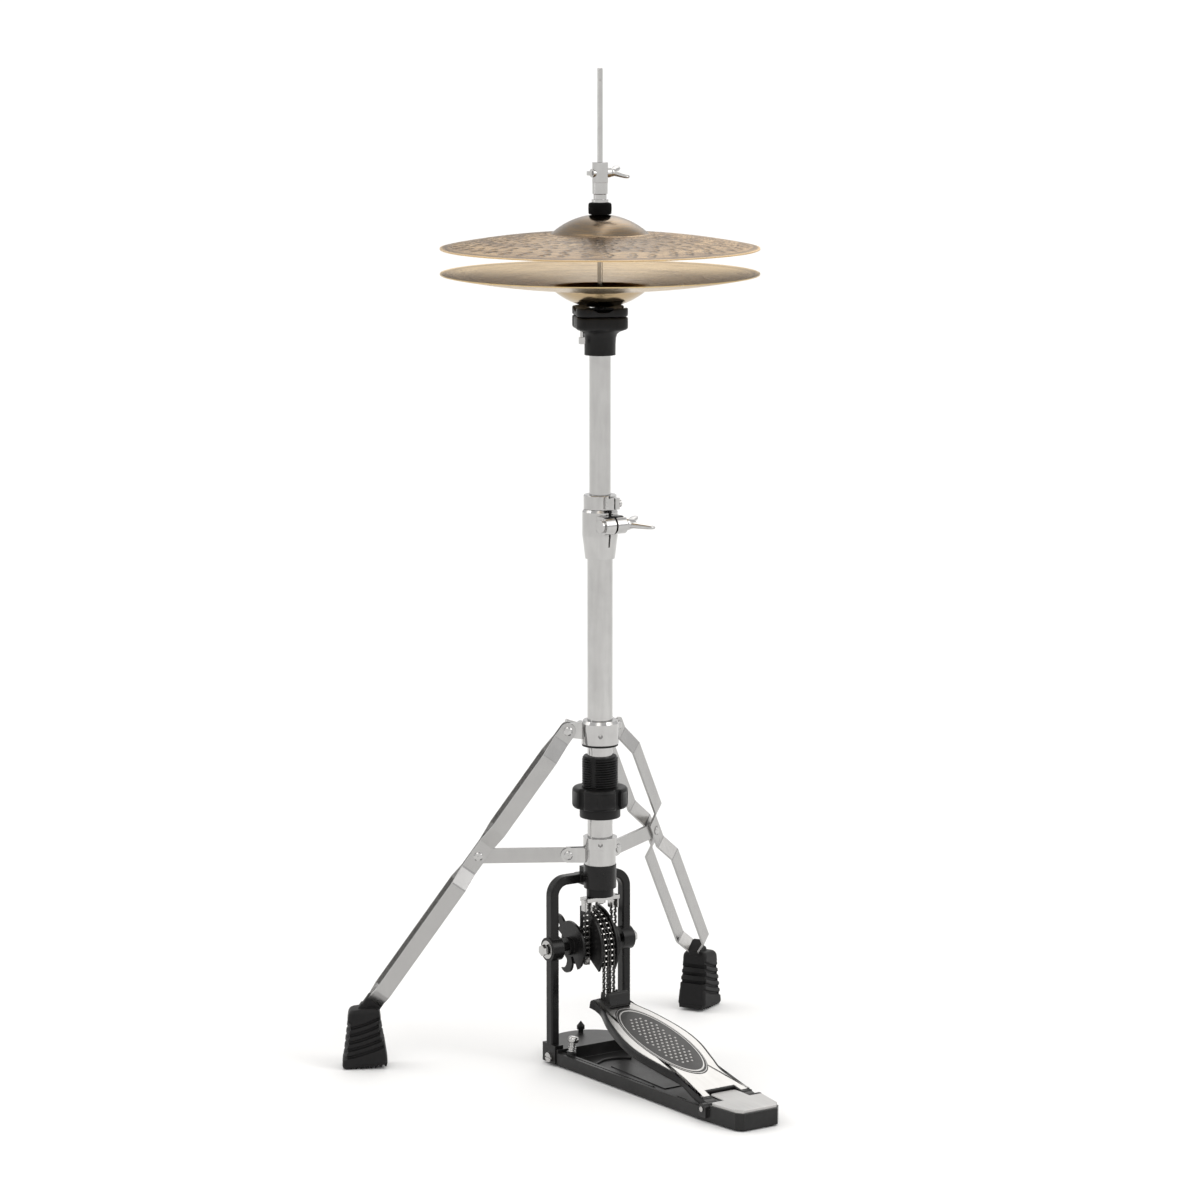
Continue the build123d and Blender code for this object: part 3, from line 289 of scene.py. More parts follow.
class Shape:
    """Vertices and faces gathered from simple generators."""

    def __init__(self):
        self.verts, self.faces = [], []

    def add(self, verts, faces, place=None):
        start = len(self.verts)
        self.verts += [tuple(place @ Vector(v)) if place else tuple(v) for v in verts]
        self.faces += [tuple(i + start for i in face) for face in faces]
        return self

    def turned(self, profile, seg=48, place=None, closed=False):
        """Surface of revolution about Z. An open profile starts and ends on the axis."""
        verts, rings = [], []
        for r, z in profile:
            if r < 1e-6:
                rings.append([len(verts)])
                verts.append((0, 0, z))
            else:
                rings.append(list(range(len(verts), len(verts) + seg)))
                verts += ring_of(r, z, seg)
        faces = []
        pairs = list(zip(rings, rings[1:])) + ([(rings[-1], rings[0])] if closed else [])
        for low, high in pairs:
            for i in range(seg):
                j = (i + 1) % seg
                a, b = low[i % len(low)], low[j % len(low)]
                c, d = high[j % len(high)], high[i % len(high)]
                face = [a, b, c, d]
                if a == b:
                    face = [a, c, d]
                if c == d:
                    face = [a, b, c]
                faces.append(tuple(face))
        return self.add(verts, faces, place)

    def loft(self, rings, place=None, closed=False):
        """Skin over rings that all have as many points, capped at both ends unless it is closed."""
        count = len(rings[0])
        verts = [p for ring in rings for p in ring]
        faces = []
        levels = len(rings) if closed else len(rings) - 1
        for k in range(levels):
            low, high = k * count, (k + 1) % len(rings) * count
            for i in range(count):
                j = (i + 1) % count
                faces.append((low + i, low + j, high + j, high + i))
        if not closed:
            faces.append(tuple(reversed(range(count))))
            faces.append(tuple(range((len(rings) - 1) * count, len(rings) * count)))
        return self.add(verts, faces, place)

    def prism(self, outline, z0, z1, bevel=0.0, place=None):
        """Extruded outline with chamfered rims."""
        if bevel:
            inner = inset(outline, bevel)
            levels = [(inner, z0), (outline, z0 + bevel), (outline, z1 - bevel), (inner, z1)]
        else:
            levels = [(outline, z0), (outline, z1)]
        return self.loft([[(x, y, z) for x, y in ring] for ring, z in levels], place)

    def tube(self, path, radius, seg=10):
        """Round wire along a path of points."""
        points = [Vector(p) for p in path]
        rings, side = [], None
        for i, p in enumerate(points):
            before = points[i - 1] if i else p
            after = points[i + 1] if i < len(points) - 1 else p
            along = (after - before).normalized()
            if side is None:
                side = along.orthogonal().normalized()
            side = (side - along * side.dot(along)).normalized()
            up = along.cross(side)
            angles = [TAU * k / seg for k in range(seg)]
            rings.append([tuple(p + (side * math.cos(a) + up * math.sin(a)) * radius) for a in angles])
        return self.loft(rings)

    def piece(self, name, look, body, replaces=(), slot=None, sharp=32.0):
        """Make the object, shade it and let it ride on its body."""
        mesh = bpy.data.meshes.new(name)
        mesh.from_pydata([tuple(c * MM for c in v) for v in self.verts], [], self.faces)
        return place_mesh(mesh, name, look, body, replaces, sharp)


def place_mesh(mesh, name, look, body, replaces, sharp):
    """Finish a mesh, make its object and let it ride on its body."""
    mesh.validate()
    work = bmesh.new()
    work.from_mesh(mesh)
    bmesh.ops.recalc_face_normals(work, faces=work.faces)
    work.to_mesh(mesh)
    work.free()
    mesh.shade_smooth()
    mesh.set_sharp_from_angle(angle=math.radians(sharp))
    mesh.materials.append(look)
    made = add_object(name, mesh)
    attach(made, body)
    if replaces:
        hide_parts(*replaces)
    return made


def inset(outline, by):
    """Outline moved inwards (it runs anticlockwise)."""
    moved = []
    for i, (x, y) in enumerate(outline):
        ax, ay = outline[i - 1]
        bx, by_ = outline[(i + 1) % len(outline)]
        tx, ty = bx - ax, by_ - ay
        size = math.hypot(tx, ty) or 1.0
        moved.append((x - ty / size * by, y + tx / size * by))
    return moved


def curve_through(points, steps=8):
    """Catmull-Rom curve through open control points."""
    out = []
    whole = [points[0]] + list(points) + [points[-1]]
    for a, b, c, d in zip(whole, whole[1:], whole[2:], whole[3:]):
        for k in range(steps):
            t = k / steps
            out.append(tuple(
                0.5 * ((2 * b[i]) + (c[i] - a[i]) * t + (2 * a[i] - 5 * b[i] + 4 * c[i] - d[i]) * t * t
                       + (3 * b[i] - a[i] - 3 * c[i] + d[i]) * t ** 3)
                for i in range(len(b))))
    out.append(tuple(points[-1]))
    return out


def at(x, y, z):
    return Matrix.Translation((x, y, z))


def turn(degrees, axis):
    return Matrix.Rotation(math.radians(degrees), 4, axis)


ALONG_X = turn(90, "Y")                   # carries Z onto X

# ================================================================ cymbals
CYMBAL_R, CYMBAL_T, HOLE_R = 177.8, 1.2, 6.5
BELL_SPHERE, BELL_R, BELL_TOP = 80.0, 54.5, 37.0
BOW_MID = (120.0, 9.6)
LOW_TOP_Z, TOP_EDGE_Z = 903.935, 932.0


def bow_circle():
    """Centre and radius of the bow's arc, through the bell's edge, the bow's middle and the rim."""
    bell_z = BELL_TOP - BELL_SPHERE + math.sqrt(BELL_SPHERE ** 2 - BELL_R ** 2)
    (ax, ay), (bx, by), (cx, cy) = (BELL_R, bell_z), BOW_MID, (CYMBAL_R, 0.0)
    d = 2 * (ax * (by - cy) + bx * (cy - ay) + cx * (ay - by))
    sa, sb, sc = ax * ax + ay * ay, bx * bx + by * by, cx * cx + cy * cy
    x = (sa * (by - cy) + sb * (cy - ay) + sc * (ay - by)) / d
    y = (sa * (cx - bx) + sb * (ax - cx) + sc * (bx - ax)) / d
    return x, y, math.hypot(ax - x, ay - y)


def bow_height(r):
    """Height of the cymbal's lower surface above its rim."""
    cx, cy, radius = bow_circle()
    bell = BELL_TOP - BELL_SPHERE + np.sqrt(np.maximum(BELL_SPHERE ** 2 - r ** 2, 0))
    side = 1.0 if cy < 0 else -1.0
    bow = cy + side * np.sqrt(np.maximum(radius ** 2 - (r - cx) ** 2, 0))
    return np.where(r < BELL_R, bell, bow)


def hammered(seed, radii, turns):
    """Depth of the hammer marks, and their colour mark (dark patina inside each dent, painted shade along
    its rim), on a grid of radii and turns.
    """
    rng = random.Random(seed)
    depth = np.zeros((len(radii), len(turns)))
    patina_and_rim_shade = np.zeros_like(depth)
    marks = []

    def ring(share, count, size, deep, wander, doubled=False):
        start = rng.random() * TAU
        for k in range(count):
            angle = start + TAU * k / count + rng.uniform(-wander, wander) / count
            r = share * CYMBAL_R + rng.uniform(-wander, wander) * 2.2
            marks.append((r, angle, size * rng.uniform(0.88, 1.1), deep * rng.uniform(0.75, 1.15)))
            if doubled:
                marks.append((r - size * 1.1, angle + size * 0.75 / r, size * 0.95, deep * 0.9))

    ring(0.915, 42, 5.0, 0.66, 0.5, True)
    for share, count in ((0.835, 40), (0.775, 44), (0.72, 42), (0.665, 40), (0.61, 38), (0.56, 36),
                         (0.465, 30), (0.385, 26)):
        ring(share, count, 4.6, 0.58, 1.3)
    for share, count in ((0.345, 62), (0.425, 78), (0.505, 92)):
        ring(share, count, 2.4, 0.3, 0.3)
    for r, angle, size, deep in marks:
        rows = np.where(np.abs(radii - r) < size * 1.4)[0]
        gap = np.abs((turns - angle + math.pi) % TAU - math.pi) * r
        cols = np.where(gap < size * 1.4)[0]
        if not len(rows) or not len(cols):
            continue
        dist = np.sqrt((radii[rows][:, None] - r) ** 2 + gap[cols][None, :] ** 2) / size
        bowl = -deep * np.clip(1 - dist ** 2, 0,
                               None) ** 1.2 + 0.16 * deep * np.exp(-((dist - 1.06) / 0.16) ** 2)
        block = depth[np.ix_(rows, cols)]
        depth[np.ix_(rows, cols)] = np.where(np.abs(bowl) > np.abs(block), bowl, block)
        # painted shade: the dark ring along each dent's rim stands in for the rim's shadow; the weaker
        # darkening inside is the dent's patina
        shade = np.exp(-((dist - 0.78) / 0.26) ** 2) + 0.25 * np.exp(-(dist / 0.6) ** 4)
        patina_and_rim_shade[np.ix_(rows, cols)] = np.maximum(shade, patina_and_rim_shade[np.ix_(rows, cols)] * (dist > 0.55))
    return depth, patina_and_rim_shade


def cymbal(name, look, body, node, steps, turns_count, marked):
    """Dense mesh of one cymbal: a fine upper face, a plain under face, and a rim and hole edge."""
    radii = np.linspace(HOLE_R, CYMBAL_R, steps)
    turns = np.arange(turns_count) / turns_count * TAU
    plain = np.zeros((steps, turns_count))
    depth, patina_and_rim_shade = hammered(4, radii, turns) if marked else (plain, plain)
    inside = np.clip((radii - 57.0) / 3.0, 0, 1) * np.clip((CYMBAL_R - 2.0 - radii) / 3.0, 0, 1)
    under = np.concatenate([np.linspace(HOLE_R, BELL_R, 9), np.linspace(BELL_R, CYMBAL_R, 14)[1:]])
    faces_at = [(radii, bow_height(radii)[:, None] + CYMBAL_T + depth * inside[:, None]),
                (under, bow_height(under)[:, None] + np.zeros((1, turns_count)))]
    points = []
    for r, z in faces_at:
        x, y = r[:, None] * np.cos(turns), r[:, None] * np.sin(turns)
        z = z + np.zeros_like(x)
        place = (x, y, z + TOP_EDGE_Z) if marked else (x, -y, LOW_TOP_Z - z + CYMBAL_T)
        points.append(np.stack(place, -1).reshape(-1, 3))
    count, low, n = turns_count, len(under), steps * turns_count
    k = np.arange(count)
    k2 = (k + 1) % count
    faces = []
    for rows, start, flip in ((steps, 0, False), (low, n, True)):
        row = (np.arange(rows - 1) * count)[:, None] + start
        a, b, c, d = row + k, row + count + k, row + count + k2, row + k2
        quad = (d, c, b, a) if flip else (a, b, c, d)
        faces.append(np.stack(quad, -1).reshape(-1, 4))
    rim, rim_low = (steps - 1) * count, n + (low - 1) * count
    faces.append(np.stack([rim + k, rim_low + k, rim_low + k2, rim + k2], -1))
    faces.append(np.stack([k2, n + k2, n + k, k], -1))
    faces = np.concatenate(faces)
    co = np.concatenate(points) * MM
    mesh = bpy.data.meshes.new(name)
    mesh.vertices.add(len(co))
    mesh.vertices.foreach_set("co", co.ravel())
    mesh.loops.add(faces.size)
    mesh.loops.foreach_set("vertex_index", faces.ravel().astype(np.int32))
    mesh.polygons.add(len(faces))
    mesh.polygons.foreach_set("loop_start", np.arange(0, faces.size, 4).astype(np.int32))
    mesh.update(calc_edges=True)
    # carries the dents' patina and their painted rim shade to the material
    marks = mesh.attributes.new("hammer_patina_and_shade", "FLOAT", "POINT")
    marks.data.foreach_set("value", np.concatenate([(patina_and_rim_shade * inside[:, None]).ravel(),
                                                    np.zeros(len(co) - n)]))
    return place_mesh(mesh, name, look, body, (node,), 50)


cymbal("top_cymbal_bow", TOP_BRONZE, "top_cymbal", "top_cymbal", 150, 900, True)
cymbal("bottom_cymbal_bow", LOW_BRONZE, "bottom_cymbal", "bottom_cymbal", 70, 360,
       False)

# ================================================================ chains
PITCH = 6.35
WHEEL = (24.0, 135.0)                     # y and z of the shaft
WHEEL_R, CAM_R = 42.0, 24.0


def link_outline(length):
    """Waisted plate between two pins, along x."""
    points = []
    for side, middle in ((1, length), (-1, 0.0)):
        for k in range(9):
            a = math.radians(-110 + 220 * k / 8)
            points.append((middle + side * 2.35 * math.cos(a), side * 2.35 * math.sin(a)))
        points.append((length / 2, side * 1.35))
    return points


def chain(name, pins, strands, body, replaces=(), shrink=1.0):
    """Roller chain through (y, z) pin positions, in strands side by side along X."""
    plates, bright = Shape(), Shape()
    half = 3.15 if len(strands) == 1 else 3.0
    for k, (y, z) in enumerate(pins):
        ends = (min(strands) - half - 1.15, max(strands) + half + 1.15)
        seat = at(ends[0] + (1 - shrink), y, z) @ ALONG_X
        span = ends[1] - ends[0] - 2 * (1 - shrink)
        bright.turned([(0, 0), (0.85, 0), (1.1, 0.3), (1.1, span - 0.3), (0.85, span), (0, span)], 10,
                      seat)
        for x in strands:
            roller = at(x - 1.75 * shrink, y, z) @ ALONG_X
            bright.turned([(0, 0), (1.3 * shrink, 0), (1.3 * shrink, 3.5 * shrink), (0, 3.5 * shrink)],
                          12, roller)
        if k == len(pins) - 1:
            continue
        y2, z2 = pins[k + 1]
        dy, dz = y2 - y, z2 - z
        length = math.hypot(dy, dz)
        along, up = Vector((0, dy, dz)) / length, Vector((0, -dz, dy)) / length
        basis = Matrix((along, up, Vector((1, 0, 0)))).transposed().to_4x4()
        out = half if k % 2 else half - 1.0
        for x in strands:
            for side in (-1, 1):
                plate = at(x + side * out, y, z) @ basis
                outline = [(px, py * shrink) for px, py in link_outline(length)]
                plates.prism(outline, -0.42 * shrink, 0.42 * shrink, 0.0, plate)
    bright.piece(name + "_pins", PINS, body, slot="chain_steel")
    return plates.piece(name + "_links", LINKS, body, replaces, "chain_steel", 40)


DOUBLE = (-4.15, 4.15)
LINE_Y = WHEEL[0] - WHEEL_R


def rim_pins(radius, first, step, count):
    """Pins round the shaft from an angle in degrees, clockwise from behind."""
    angles = [math.radians(first + step * k) for k in range(count)]
    return [(WHEEL[0] + radius * math.cos(a), WHEEL[1] + radius * math.sin(a)) for a in angles]


wheel_step = math.degrees(2 * math.asin(PITCH / 2 / WHEEL_R))
cam_step = math.degrees(2 * math.asin(PITCH / 2 / CAM_R))
WHEEL_LINKS, FIXED_LINKS = 7, 3
wheel_rim = rim_pins(WHEEL_R, 179.6, -wheel_step, WHEEL_LINKS + FIXED_LINKS + 1)
down = [(LINE_Y, wheel_rim[0][1] - PITCH * k) for k in range(9)]
# The wheel and the toe each carry their own links. The links between, which a real chain would
# pass from one to the other, stay on the stand inside them.
chain("wheel_chain", wheel_rim[FIXED_LINKS:], DOUBLE, "cams", ("wheel_chain",))
chain("drive_chain", down, DOUBLE, "drive_chain", ("drive_chain",))
chain("line_chain", wheel_rim[FIXED_LINKS::-1] + down[1:], DOUBLE, "stand", (), 0.9)
YOKE_PIN_Z, CAM_X = 187.6, 18.0
hang = [(0.0, YOKE_PIN_Z - PITCH * k) for k in range(11)]
for side, label in ((-1, "left"), (1, "right")):
    strand = (side * CAM_X,)
    chain(f"{label}_yoke_chain", hang[:5], strand, "rod", ("side_chains",) if side < 0 else ())
    chain(f"{label}_hanging_chain", hang[4:9], strand, "stand", (), 0.9)
    chain(f"{label}_cam_chain", hang[8:11], strand, "cams")
    chain(f"{label}_rim_chain", rim_pins(CAM_R, 180 - cam_step, -cam_step, 4), strand, "cams", (), 0.85)

# ================================================================ rubber feet
LEG_ANGLES = {"right": 30.0, "left": 150.0}
FOOT_R, FOOT_TILT, FOOT_H = 269.0, 6.0, 66.5
FOOT_HALF, FIN_STEP, FIN_DEEP = 26.5, 8.3, 4.6
LEG_PIVOT_R, LEG_PIVOT_Z, LEG_LENGTH = 36.6, 388.0, 404.0
BRACE_LENGTH, LEG_TO_BRACE = 102.1, 176.5


def fin_gap(z, outer):
    """True where the foot's narrow side is cut back between two fins."""
    if outer:
        return 10.5 < z < 53.5 and (z - 10.5) % FIN_STEP < 4.1
    return 28.0 < z < 32.0 or 37.6 < z < 41.6 or 47.2 < z < 51.5


def groove(z, x, wide):
    """Depth of the hollows between the curved fins on the broad faces."""
    low = z - 9.0 * ((wide - x) / (2 * wide)) ** 1.7
    if not 9.0 < low < 50.5:
        return 0.0
    off = (low - 9.0) % FIN_STEP - FIN_STEP / 2
    return 2.9 * math.exp(-(off / 1.7) ** 4) * min(1.0, (50.5 - low) / 3)


def foot_ring(z):
    """Outline at height z: a rounded rectangle with its fins and grooves."""
    t = z / FOOT_H
    wide, deep = 26.4 - 9.2 * t, 18.2 - 3.2 * t
    wide, deep = wide - 2.2 * max(0.0, 1 - z / 5) ** 2, deep - 2.2 * max(0.0, 1 - z / 5) ** 2
    crown = max(0.0, (z - 60.0) / (FOOT_H - 60.0))
    shrink = 4.2 * (1 - math.sqrt(max(0.0, 1 - crown ** 2)))
    corner, steps, arc = 4.6, 34, 6
    points = []
    for side in range(4):
        along, off = (wide, deep) if side % 2 else (deep, wide)
        run = [(off, -(along - corner) + 2 * (along - corner) * k / steps) for k in range(steps)]
        bend = [math.radians(90 * k / arc) for k in range(arc)]
        run += [(off - corner + corner * math.cos(a),
                 along - corner + corner * math.sin(a)) for a in bend]
        quarter = side * math.pi / 2
        for u, v in run:
            x = u * math.cos(quarter) - v * math.sin(quarter)
            y = u * math.sin(quarter) + v * math.cos(quarter)
            x = math.copysign(max(0.0, abs(x) - shrink), x)
            y = math.copysign(max(0.0, abs(y) - shrink), y)
            bare = fin_gap(z, x > 0)
            finned = 10.5 < z < 53.5 if x > 0 else 28.0 < z < 51.5
            cut = FIN_DEEP if bare else FIN_DEEP * 0.85 * (y / deep) ** 2 * finned
            x = math.copysign(min(abs(x), wide - cut), x)
            if abs(y) > deep - 1.0:
                y -= math.copysign(groove(z, x, wide), y)
            points.append((x - 6.2 * t, y, z))
    return points


def rubber_foot(label, angle):
    """Foot with fins at both ends, curved grooves on its broad faces, a toothed tread and a neck."""
    place = turn(angle, "Z") @ at(FOOT_R + FOOT_HALF, 0, 0) @ turn(FOOT_TILT, "Y") @ at(-FOOT_HALF, 0, 0)
    heights = [0.3 + 0.6 * k for k in range(102)] + [61.8, 62.7, 63.6, 64.5, 65.3, 65.9, 66.3, 66.45]
    shape = Shape().loft([foot_ring(z) for z in heights], place)
    for k in range(9):
        x = -23.6 + 5.6 * k
        down = min(2.3, max(0.0, (22.0 - x) * math.sin(math.radians(FOOT_TILT)) * 0.85)) - 0.25
        tooth = [[(x - 2.5, y, 2.0), (x + 2.5, y, 2.0), (x + 0.8, y, -down),
                  (x - 0.8, y, -down)] for y in (-15.4, 15.4)]
        shape.loft(tooth, place)
    lean = math.degrees(math.asin(BRACE_LENGTH / LEG_TO_BRACE))
    pivot = turn(angle, "Z") @ at(LEG_PIVOT_R, 0, LEG_PIVOT_Z)
    neck = pivot @ turn(-lean, "Y") @ at(0, 0, -LEG_LENGTH)

    def block(grow, k):
        c, s = math.cos(TAU * k / 40), math.sin(TAU * k / 40)
        return 10.2 * grow * math.copysign(abs(c) ** 0.3, c), 6.6 * grow * math.copysign(abs(s) ** 0.3, s)

    shape.prism([block(1.0, k) for k in range(40)], 1.0, 25.5, 0.8, neck)
    shape.prism([block(1.12, k) for k in range(40)], 4.0, 12.5, 0.8, neck)
    shape.piece(f"{label}_rubber_foot", RUBBER, f"{label}_leg", (f"{label}_foot",), "black_rubber", 40)


for label, angle in LEG_ANGLES.items():
    rubber_foot(label, angle)

# ================================================================ spring, threads and knob
SPRING_R, WIRE_R, COILS, COIL_STEPS = 9.5, 1.05, 12, 24
SPRING_Z, SPRING_RISE = 300.1, 82.8
spring_path = []
for k in range(COILS * COIL_STEPS + 1):
    a = TAU * k / COIL_STEPS
    rise = k / (COILS * COIL_STEPS)
    spring_path.append((SPRING_R * math.cos(a), SPRING_R * math.sin(a), SPRING_Z + SPRING_RISE * rise))
spring = Shape().tube(spring_path, WIRE_R, 8).piece("coil_spring", SPRING, "stand", ("return_spring",),
                                                    "spring_steel", 60)
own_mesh(spring)


def threaded(z0, z1, crest, root, pitch, bore, seg=96, step=0.34, slot_at=None):
    """Sleeve with an outside thread and a plain bore."""
    rings = []
    count = int((z1 - z0) / step)
    for k in range(count + 1):
        z = z0 + (z1 - z0) * k / count
        fade = min(1.0, (z - z0) / pitch, (z1 - z) / pitch)
        ring = []
        for i in range(seg):
            a = TAU * i / seg
            wave = 0.5 + 0.5 * math.cos(TAU * (z / pitch - i / seg))
            r = root + (crest - root) * min(1.0, 1.25 * wave) * fade
            if slot_at is not None and abs((a - slot_at + math.pi) % TAU - math.pi) < 0.13:
                r = root - 0.6
            ring.append((r * math.cos(a), r * math.sin(a), z))
        rings.append(ring)
    for r, z in ((bore, z1), (bore, z0)):
        rings.append(ring_of(r, z, seg))
    return Shape().loft(rings, closed=True)


threaded(289.2, 358.8, 20.45, 18.5, 2.76, 14.34, slot_at=math.radians(213)).piece(
    "tension_thread", PLASTIC, "stand", ("tension_sleeve",), "black_plastic", 50)


def polar(profile, levels, seg=144, bore=None):
    """Skin over rings given by a radius function of angle, level by level."""
    rings = []
    for z, *shape in levels:
        reach = [profile(TAU * i / seg, *shape) for i in range(seg)]
        rings.append([(r * math.cos(TAU * i / seg), r * math.sin(TAU * i / seg), z)
                      for i, r in enumerate(reach)])
    if bore:
        for z in (levels[-1][0], levels[0][0]):
            rings.append(ring_of(bore, z, seg))
    return Shape().loft(rings, closed=bool(bore))


KNOB_R, KNOB_NOTCH, NOTCH_R = 31.6, math.radians(11.5), 4.0
KNOB_CORE, RIB_DEEP = 24.6, 0.9           # the notches stop at the core


def knob_radius(angle, reach, rib=0.0):
    """Round knob with four deep notches and a rib down the middle of each broad grip."""
    step = TAU / 4
    off = abs((angle - KNOB_NOTCH + step / 2) % step - step / 2)
    middle = KNOB_R - 2.1
    r = reach
    if math.sin(off) * middle < NOTCH_R and reach > KNOB_CORE:
        r = min(r, middle * math.cos(off) - math.sqrt(NOTCH_R ** 2 - (middle * math.sin(off)) ** 2))
    edge = math.exp(-((off * KNOB_R - 4.6) / 1.3) ** 2) * 0.7
    on_rib = math.exp(-((abs(off - step / 2) * KNOB_R) / 1.2) ** 6)
    beside = 1.0 if abs(off - step / 2) * KNOB_R > 2.0 else 1 - on_rib
    return r - (edge if reach > KNOB_CORE else 0.0) - rib * (RIB_DEEP * beside)


levels = [(288.1, 22.8), (288.7, 23.2), (298.6, 23.2), (299.2, 24.5), (299.3, 28.0), (299.9, 30.0),
          (301.2, 31.1)]
levels += [(302.6, 31.6), (303.4, 31.6, 0.5), (304.2, 31.6, 1.0), (317.6, 31.6, 1.0),
           (318.4, 31.6, 0.5), (319.2, 31.6)]
levels += [(320.9, 31.1), (322.2, 29.9), (322.9, 28.0), (323.0, 25.6)]
polar(knob_radius, levels, seg=240, bore=20.6).piece(
    "tension_knob_body", PLASTIC, "tension_knob", ("tension_knob",), "black_plastic", 38)


def petal(shape, place, root, tip, wide, thick):
    """Rounded blade of a wing screw, from its root to its tip in the XY plane."""
    root, tip = Vector(root), Vector(tip)
    along = (tip - root).normalized()
    side = Vector((-along.y, along.x, 0))
    rings = []
    for k in range(15):
        t = k / 14
        end = max(0.0, (t - 0.62) / 0.38)
        taper = math.sqrt(max(0.0, 1 - end ** 2.4)) + 0.02
        w = (wide[0] + (wide[1] - wide[0]) * min(1.0, t * 1.5)) * taper
        h = (thick[0] + (thick[1] - thick[0]) * t) * (0.55 + 0.45 * taper)
        middle = root + (tip - root) * t
        ring = []
        for i in range(20):
            a = TAU * i / 20
            c, s = math.cos(a), math.sin(a)
            ring.append(tuple(middle + side * (w * math.copysign(abs(c) ** 0.8, c))
                              + Vector((0, 0, h * math.copysign(abs(s) ** 0.8, s)))))
        rings.append(ring)
    return shape.loft(rings, place)


def wing(name, node, body, place, hub, reach, span, thick, shank=None):
    """Wing screw along the place's X: turned hub with a domed end and two petals."""
    hub_r, hub_len = hub
    shape = Shape()
    profile = [(0, 0.05), (hub_r * 0.9, 0.05), (hub_r, 0.7), (hub_r * 0.98, hub_len * 0.35),
               (hub_r * 0.8, hub_len * 0.8),
               (hub_r * 0.66, hub_len * 0.95), (hub_r * 0.3, hub_len), (0, hub_len)]
    shape.turned(profile, 40, place @ ALONG_X)
    if shank:
        shape.turned([(0, -shank[1]), (shank[0], -shank[1]), (shank[0], 0.4), (0, 0.4)], 24,
                     place @ ALONG_X)
    for side in (1, -1):
        mirror = Matrix.Diagonal((1, side, 1, 1))
        petal(shape, place @ mirror, (hub_len * 0.42, hub_r * 0.3, 0), (reach, span, 0),
              (hub_len * 0.36, 4.1), thick)
    shape.piece(name, CHROME, body, (node,), "bright_chrome", 50)


CLAMP_Y, CLAMP_Z = -26.0, 625.0
wing("clamp_wing_screw", "clamp_wing", "clamp_wing", at(14.3, CLAMP_Y, CLAMP_Z) @ turn(12, "X"),
     (7.0, 15.0), 30.2, 19.0, (3.4, 2.0))
wing("clutch_wing_screw", "clutch_wing", "clutch_wing", at(13.4, 0, 1016) @ turn(24, "X"),
     (4.8, 8.0), 18.6, 12.4, (3.0, 1.7), (2.45, 9.9))

# ================================================================ side spur, clamp's nylon flap, tray ridge
SPUR = at(-42, -4, 16) @ turn(10, "Y")
spur = Shape().turned([(0, -14.9), (2.9, -11.0), (2.9, 3.0), (0, 3.0)], 32, SPUR)
rings = []
for k in range(56):
    z = 2.4 + 0.22 * k
    rings.append([])
    for i in range(36):
        wave = 0.5 + 0.5 * math.cos(TAU * (z / 2.5 - i / 36))
        r = 4.0 + 1.0 * wave * min(1.0, k / 6, (55 - k) / 6)
        rings[-1].append((r * math.cos(TAU * i / 36), r * math.sin(TAU * i / 36), z))
spur.loft(rings, SPUR)
spur.turned([(0, 14.2), (5.2, 14.2), (6.2, 15.2), (6.3, 18.6), (5.6, 20.2), (4.0, 21.1), (0, 21.4)], 32,
            SPUR)
spur.piece("side_spur_screw", CHROME, "side_spur", ("side_spur",), "bright_chrome", 50)

BARREL = at(0, CLAMP_Y, CLAMP_Z) @ ALONG_X
flap = []
for x in (-4.4, -3.9, 11.6, 12.1):
    lift = 0.0 if x in (-4.4, 12.1) else 0.55
    arc = [math.radians(a) for a in range(88, 206, 6)]
    outer = [((10.0 + lift) * math.cos(a), (10.0 + lift) * math.sin(a), x) for a in arc]
    inner = [(9.2 * math.cos(a), 9.2 * math.sin(a), x) for a in reversed(arc)]
    flap.append(outer + inner)
Shape().loft(flap, BARREL).piece("clamp_flap", PLASTIC, "stand", (), "black_plastic", 40)

HEAD_R, HEAD_X0, HEAD_X1 = 6.7, 58.4, 64.2
heads = Shape()
for side in (-1, 1):
    hexagon = [(x, y) for x, y, _ in ring_of(HEAD_R, 0, 6)]
    heads.prism(hexagon, HEAD_X0, HEAD_X1, 0.6, at(0, *WHEEL) @ turn(side * 90, "Y"))
heads.piece("shaft_heads", CHROME, "cams", (), "bright_chrome", 30)

ridge = Shape()
outline = curve_through([(-24, -26), (-10, -17), (0, -15), (10, -17), (24, -26)], 6)
ridge.prism([(x, y - 3.0) for x, y in outline] + [(x, y) for x, y in reversed(outline)], 5.8, 8.4, 0.6)
ridge.prism([(-13, -150), (13, -150), (13, -42), (-13, -42)], 5.8, 7.0, 0.5)
ridge.piece("tray_ridge", CAST, "stand", (), "grey_casting", 40)

# ================================================================ seat
SEAT_START = math.radians(20.0)


def lobed(angle, grow):
    """Four-lobed outline, moved in or out by grow."""
    best = 28.5
    for k in range(4):
        off = (angle - SEAT_START - k * TAU / 4 + math.pi) % TAU - math.pi
        inner = 13.5 ** 2 - (21.8 * math.sin(off)) ** 2
        if inner > 0 and math.cos(off) > 0:
            best = (best ** 18 + (21.8 * math.cos(off) + math.sqrt(inner)) ** 18) ** (1 / 18)
    return min(best, 35.3) + grow


def flare(angle, share, grow):
    """From a round neck to the lobed outline."""
    return 17.4 * (1 - share) + lobed(angle, grow) * share


